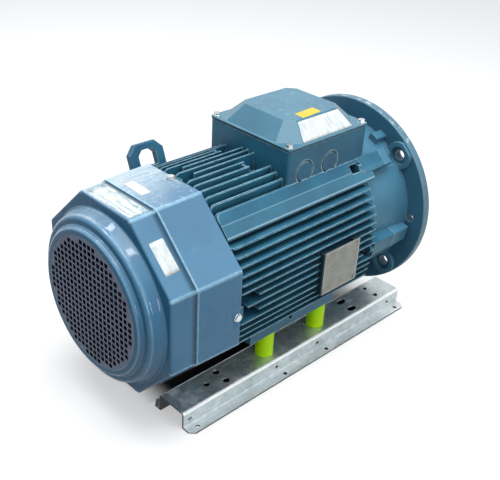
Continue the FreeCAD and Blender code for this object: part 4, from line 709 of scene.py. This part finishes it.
coverPoints, coverFold, coverPaintedShade = pressedCover(coverShape)
coverRows, coverColumns = coverFold.shape
coverFaces = gridFaces(coverRows, coverColumns, True)[:, ::-1]      # outwards
cover = meshPiece("fanCoverShell", coverPoints, coverFaces, coverEnamel, "stator")
cover.data.attributes.new("fold", "FLOAT", "POINT").data.foreach_set("value", coverFold.ravel())
cover.data.attributes.new("joint", "FLOAT", "POINT").data.foreach_set("value", coverPaintedShade.ravel())
wall = cover.modifiers.new("sheet", "SOLIDIFY")
wall.thickness = coverShape["sheet"]
wall.offset = -1.0
wall.use_even_offset = False
wall.material_offset = 1        # the inner wall is dark, painted shade over a dark primer, and so is its edge round the inlet
cover.data.materials.append(coatingFinishes["coverInside"])
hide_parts("fan_cover")
print("fan cover: done")

# Labels: thin sheets with rounded corners, left blank. Corners in millimetres, in order round the label.
labelLooks = {
    "yellow": {"colour": (0.62, 0.47, 0.004), "stain": (0.44, 0.31, 0.003), "rough": 0.32, "streak": 0.15},
    "white": {"colour": (0.66, 0.70, 0.70), "stain": (0.34, 0.42, 0.45), "rough": 0.28, "streak": 0.55},
    "silver": {"colour": (0.60, 0.68, 0.67), "stain": (0.16, 0.27, 0.32), "rough": 0.30, "streak": 1.0},
}
labelFilm = {"thick": 0.1 * mm, "gap": 0.12 * mm, "search": 20 * mm, "steps": 15, "cornerSteps": 6, "rows": 9}


def labelFinish(name, look):
    f = Finish(name)
    cloud = f.noise(26.0, 5.0, 0.65)
    streak = f.noise(80.0, 5.0, 0.7, f.stretch(2.2, 0.35, 0.5), 0.6)
    flecks = f.noise(240.0, 4.0, 0.7)
    share = look["streak"] * f.between(streak, 0.45, 0.62) + 0.15 * f.between(cloud, 0.45, 0.75)
    colour = f.mix(share, look["colour"], look["stain"])
    colour = f.mix(0.25 * f.between(flecks, 0.6, 0.72), colour, look["stain"])
    normal = f.bump(cloud + 0.15 * flecks, 0.15 * mm, None, 0.35)
    return f.close(Base_Color=colour, Roughness=look["rough"] + 0.15 * cloud, Normal=normal,
                   Coat_Weight=0.3, Coat_Roughness=0.15)


labelFinishes = {key: labelFinish(key + "Label", look) for key, look in labelLooks.items()}


def labelGrid(corners, rounding):
    # Formula: P(u, v) is the corners' bilinear patch. v is drawn in near u = 0 and u = 1, by a quarter circle
    # of the rounding, so that the patch's outline has round corners.
    a, b, c, d = (np.array(p) * mm for p in corners)
    length = np.linalg.norm(b - a)
    width = np.linalg.norm(d - a)
    edge = (1 - np.cos(np.linspace(0, math.pi / 2, labelFilm["cornerSteps"]))) * rounding / length
    middle = np.linspace(rounding / length, 1 - rounding / length, labelFilm["steps"])[1:-1]
    u = np.concatenate([edge, middle, 1 - edge[::-1]])
    fromEnd = np.minimum(u, 1 - u) * length
    inset = rounding - np.sqrt(np.maximum(rounding ** 2 - np.maximum(rounding - fromEnd, 0) ** 2, 0))
    t = np.linspace(0, 1, labelFilm["rows"])
    v = inset[:, None] / width + t[None, :] * (1 - 2 * inset[:, None] / width)
    u = np.broadcast_to(u[:, None], v.shape)
    patch = (a * ((1 - u) * (1 - v))[..., None] + b * (u * (1 - v))[..., None] + c * (u * v)[..., None]
             + d * ((1 - u) * v)[..., None])
    return patch.reshape(-1, 3), v.shape[0], v.shape[1]


labels = [
    {"name": "lidTopLabel", "look": "yellow", "round": 1.5 * mm,
     "corners": [(-217.5, -57.0, 206.0), (-173.5, -54.0, 206.0),
                 (-172.0, -33.5, 206.0), (-216.0, -36.0, 206.0)]},
    {"name": "lidSlopeLabel", "look": "white", "round": 2.0 * mm,
     "corners": [(-243.5, -84.4, 180.3), (-129.0, -84.4, 180.3),
                 (-138.0, -58.6, 203.6), (-232.5, -58.6, 203.6)]},
    {"name": "coverFacetLabel", "look": "white", "round": 2.0 * mm,
     "corners": [(-539.0, -122.5, 80.3), (-515.5, -122.0, 80.8),
                 (-516.5, -85.9, 115.6), (-540.0, -86.4, 115.1)]},
    {"name": "coverTopLabel", "look": "white", "round": 1.5 * mm,
     "corners": [(-497.5, -15.5, 144.5), (-480.5, -15.0, 144.5),
                 (-478.5, 31.5, 144.5), (-494.0, 34.0, 144.5)]},
    {"name": "coverTopFilm", "look": "silver", "round": 2.0 * mm,
     "corners": [(-545.5, -51.5, 142.0), (-513.5, -52.5, 142.6),
                 (-513.5, 52.5, 142.6), (-545.5, 51.5, 142.0)]},
]


def restOn(grid, shell, way):
    # moves each point along the given direction until it rests just over the shell
    tree = shell.evaluated_get(bpy.context.evaluated_depsgraph_get())
    placed = []
    for point in grid:
        hit, spot = tree.ray_cast(Vector(point) - way * labelFilm["search"], way)[:2]
        placed.append(spot - way * labelFilm["gap"] if hit else Vector(point))
    return np.array(placed)


for label in labels:
    grid, rows, columns = labelGrid(label["corners"], label["round"])
    first, second, last = (Vector(label["corners"][i]) for i in (0, 1, 3))
    outward = (second - first).cross(last - first).normalized()
    carrier = cover if label["name"].startswith("cover") else nodes["terminal_box_lid"]
    grid = restOn(grid, carrier, -outward)
    faces = gridFaces(rows, columns, False)
    piece = meshPiece(label["name"], grid, faces, labelFinishes[label["look"]], "stator")
    film = piece.modifiers.new("film", "SOLIDIFY")
    film.thickness = labelFilm["thick"]
    film.offset = -1.0
print("labels: done")

# Floor, light and camera

studio = {"floorZ": cadBox[0][2], "floorSize": 14.0, "floor": (0.24, 0.24, 0.24),
          "floorSeen": (0.62, 0.62, 0.62), "floorShade": (0.02, 0.02, 0.02), "floorGlow": (0.42, 0.42, 0.42),
          "sky": (0.93, 0.96, 1.0), "skyStrength": 0.45}
# The floor's shade: where it sets in and fades out between the rails, and how far it stays from their ends.
floorShadeEnds = {"setsIn": (-15 * mm, 50 * mm), "fadesOut": (-100 * mm, 60 * mm),
                  "railEnds": (75 * mm, 10 * mm), "soft": 10 * mm}


def underMotor(f):
    # 1 on the floor below the two rails and, with soft ends, below the motor between them
    ends = floorShadeEnds
    low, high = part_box("near_base_rail")
    fromMiddle = f.size(f.along("Y"))
    x = f.along("X")
    inner = 1 - f.between(fromMiddle, -high.y - 1 * mm, -high.y)
    rails = (1 - inner) * (1 - f.between(fromMiddle, -low.y - 2 * mm, -low.y))
    setsIn = [low.x + distance for distance in ends["setsIn"]]
    between = inner * f.between(x, *setsIn) * (1 - f.between(x, *ends["fadesOut"]))
    fanEnd, driveEnd = ends["railEnds"]
    return rails * f.window(x, low.x + fanEnd, high.x - driveEnd, ends["soft"]) + between


def floorFinish():
    f = Finish("paleFloor")
    seen = f.seen()
    shade = underMotor(f)
    colour = f.mix(seen, studio["floor"], studio["floorSeen"])
    colour = f.mix(seen * shade, colour, studio["floorShade"])
    glow = f.mix(seen * (1 - shade), (0.0, 0.0, 0.0), studio["floorGlow"])
    grain = f.noise(40.0, 3.0)
    return f.close(Base_Color=colour, Roughness=0.9 + 0.05 * grain, Specular_IOR_Level=0.0,
                   Emission_Color=glow, Emission_Strength=1.0)


floorPoints = np.array([(x, y, studio["floorZ"]) for x in (-1, 1) for y in (-1, 1)], float)
floorPoints[:, :2] *= studio["floorSize"] / 2
floorMesh = bpy.data.meshes.new("floor")
floorMesh.from_pydata(floorPoints.tolist(), [], [(0, 2, 3, 1)])
floorMesh.materials.append(floorFinish())
floor = bpy.data.objects.new("floor", floorMesh)
bpy.context.scene.collection.objects.link(floor)

lamps = [
    {"name": "topSoftbox", "place": (-0.35, -0.25, 2.2), "aim": (-0.25, 0.0, 0.0), "size": (2.2, 1.6),
     "power": 59.0},
    {"name": "nearSoftbox", "place": (-0.15, -2.0, 1.15), "aim": (-0.25, 0.0, 0.0), "size": (1.2, 1.0),
     "power": 10.0},
    {"name": "fanSideSoftbox", "place": (-2.3, 0.1, 1.0), "aim": (-0.3, 0.0, 0.0), "size": (1.0, 1.0),
     "power": 1.5},
    {"name": "backSoftbox", "place": (0.3, 2.0, 1.6), "aim": (-0.25, 0.0, 0.1), "size": (1.4, 0.9),
     "power": 8.0},
    {"name": "farGlint", "place": (-1.12, 0.97, 2.2), "aim": (-0.57, -0.05, 0.1), "size": (0.90, 0.24),
     "power": 16.0, "glossOnly": True},
    {"name": "nearGlint", "place": (-1.46, -0.54, 2.27), "aim": (-0.57, -0.05, 0.1), "size": (0.70, 0.22),
     "power": 9.0, "glossOnly": True},
    {"name": "lipGlint", "place": (-1.07, -2.2, 0.25), "aim": (-0.57, -0.05, 0.1), "size": (0.15, 0.60),
     "power": 9.0, "glossOnly": True},
]
for lamp in lamps:
    light = bpy.data.lights.new(lamp["name"], "AREA")
    light.shape = "RECTANGLE"
    light.size, light.size_y = lamp["size"]
    light.energy = lamp["power"]
    holder = bpy.data.objects.new(lamp["name"], light)
    toward = Vector(lamp["aim"]) - Vector(lamp["place"])
    turned = toward.to_track_quat("-Z", "Y").to_matrix().to_4x4()
    holder.matrix_world = Matrix.Translation(Vector(lamp["place"])) @ turned
    holder.visible_diffuse = not lamp.get("glossOnly", False)       # a glint lights nothing, it only mirrors
    bpy.context.scene.collection.objects.link(holder)


def studioSky():
    # white to the camera, to gloss and through glass; a softer sky lights the motor
    f = Finish("studioSky", bpy.data.worlds.new("studioSky"))
    lit = f.node("ShaderNodeBackground", {}, {"Color": studio["sky"], "Strength": studio["skyStrength"]})
    white = f.node("ShaderNodeBackground", {}, {"Color": (1.0, 1.0, 1.0), "Strength": 1.0})
    sky = f.node("ShaderNodeMixShader", {}, {0: f.seen(), 1: lit, 2: white})
    out = f.tree.nodes.new("ShaderNodeOutputWorld")
    f.tree.links.new(sky.socket, out.inputs["Surface"])
    return f.owner


bpy.context.scene.world = studioSky()
bpy.context.scene.view_settings.view_transform = "Standard"

# The photograph's camera: its direction in degrees from -X towards -Y and above the floor, its roll, and its
# distance from the point it looks at. The focal length and the image's width are in pixels.
view = {"azimuth": 44.535, "elevation": 30.214, "roll": 3.290, "distance": 1.56631,
        "target": (-0.12870, 0.13093, -0.12959), "focal": 798.87, "imageWidth": 500, "sensor": 36.0}
azimuth = math.radians(view["azimuth"])
elevation = math.radians(view["elevation"])
roll = math.radians(view["roll"])
back = Vector((-math.cos(azimuth) * math.cos(elevation), -math.sin(azimuth) * math.cos(elevation),
               math.sin(elevation)))
right = (-back).cross(Vector((0, 0, 1))).normalized()
up = right.cross(-back)
right, up = math.cos(roll) * right + math.sin(roll) * up, -math.sin(roll) * right + math.cos(roll) * up
lens = bpy.data.cameras.new("photoCamera")
lens.sensor_width = view["sensor"]
lens.lens = view["focal"] / view["imageWidth"] * view["sensor"]
camera = bpy.data.objects.new("photoCamera", lens)
turn = Matrix((right, up, back)).transposed().to_4x4()
camera.matrix_world = Matrix.Translation(Vector(view["target"]) + back * view["distance"]) @ turn
bpy.context.scene.collection.objects.link(camera)
bpy.context.scene.camera = camera
print("floor, light and camera: done")
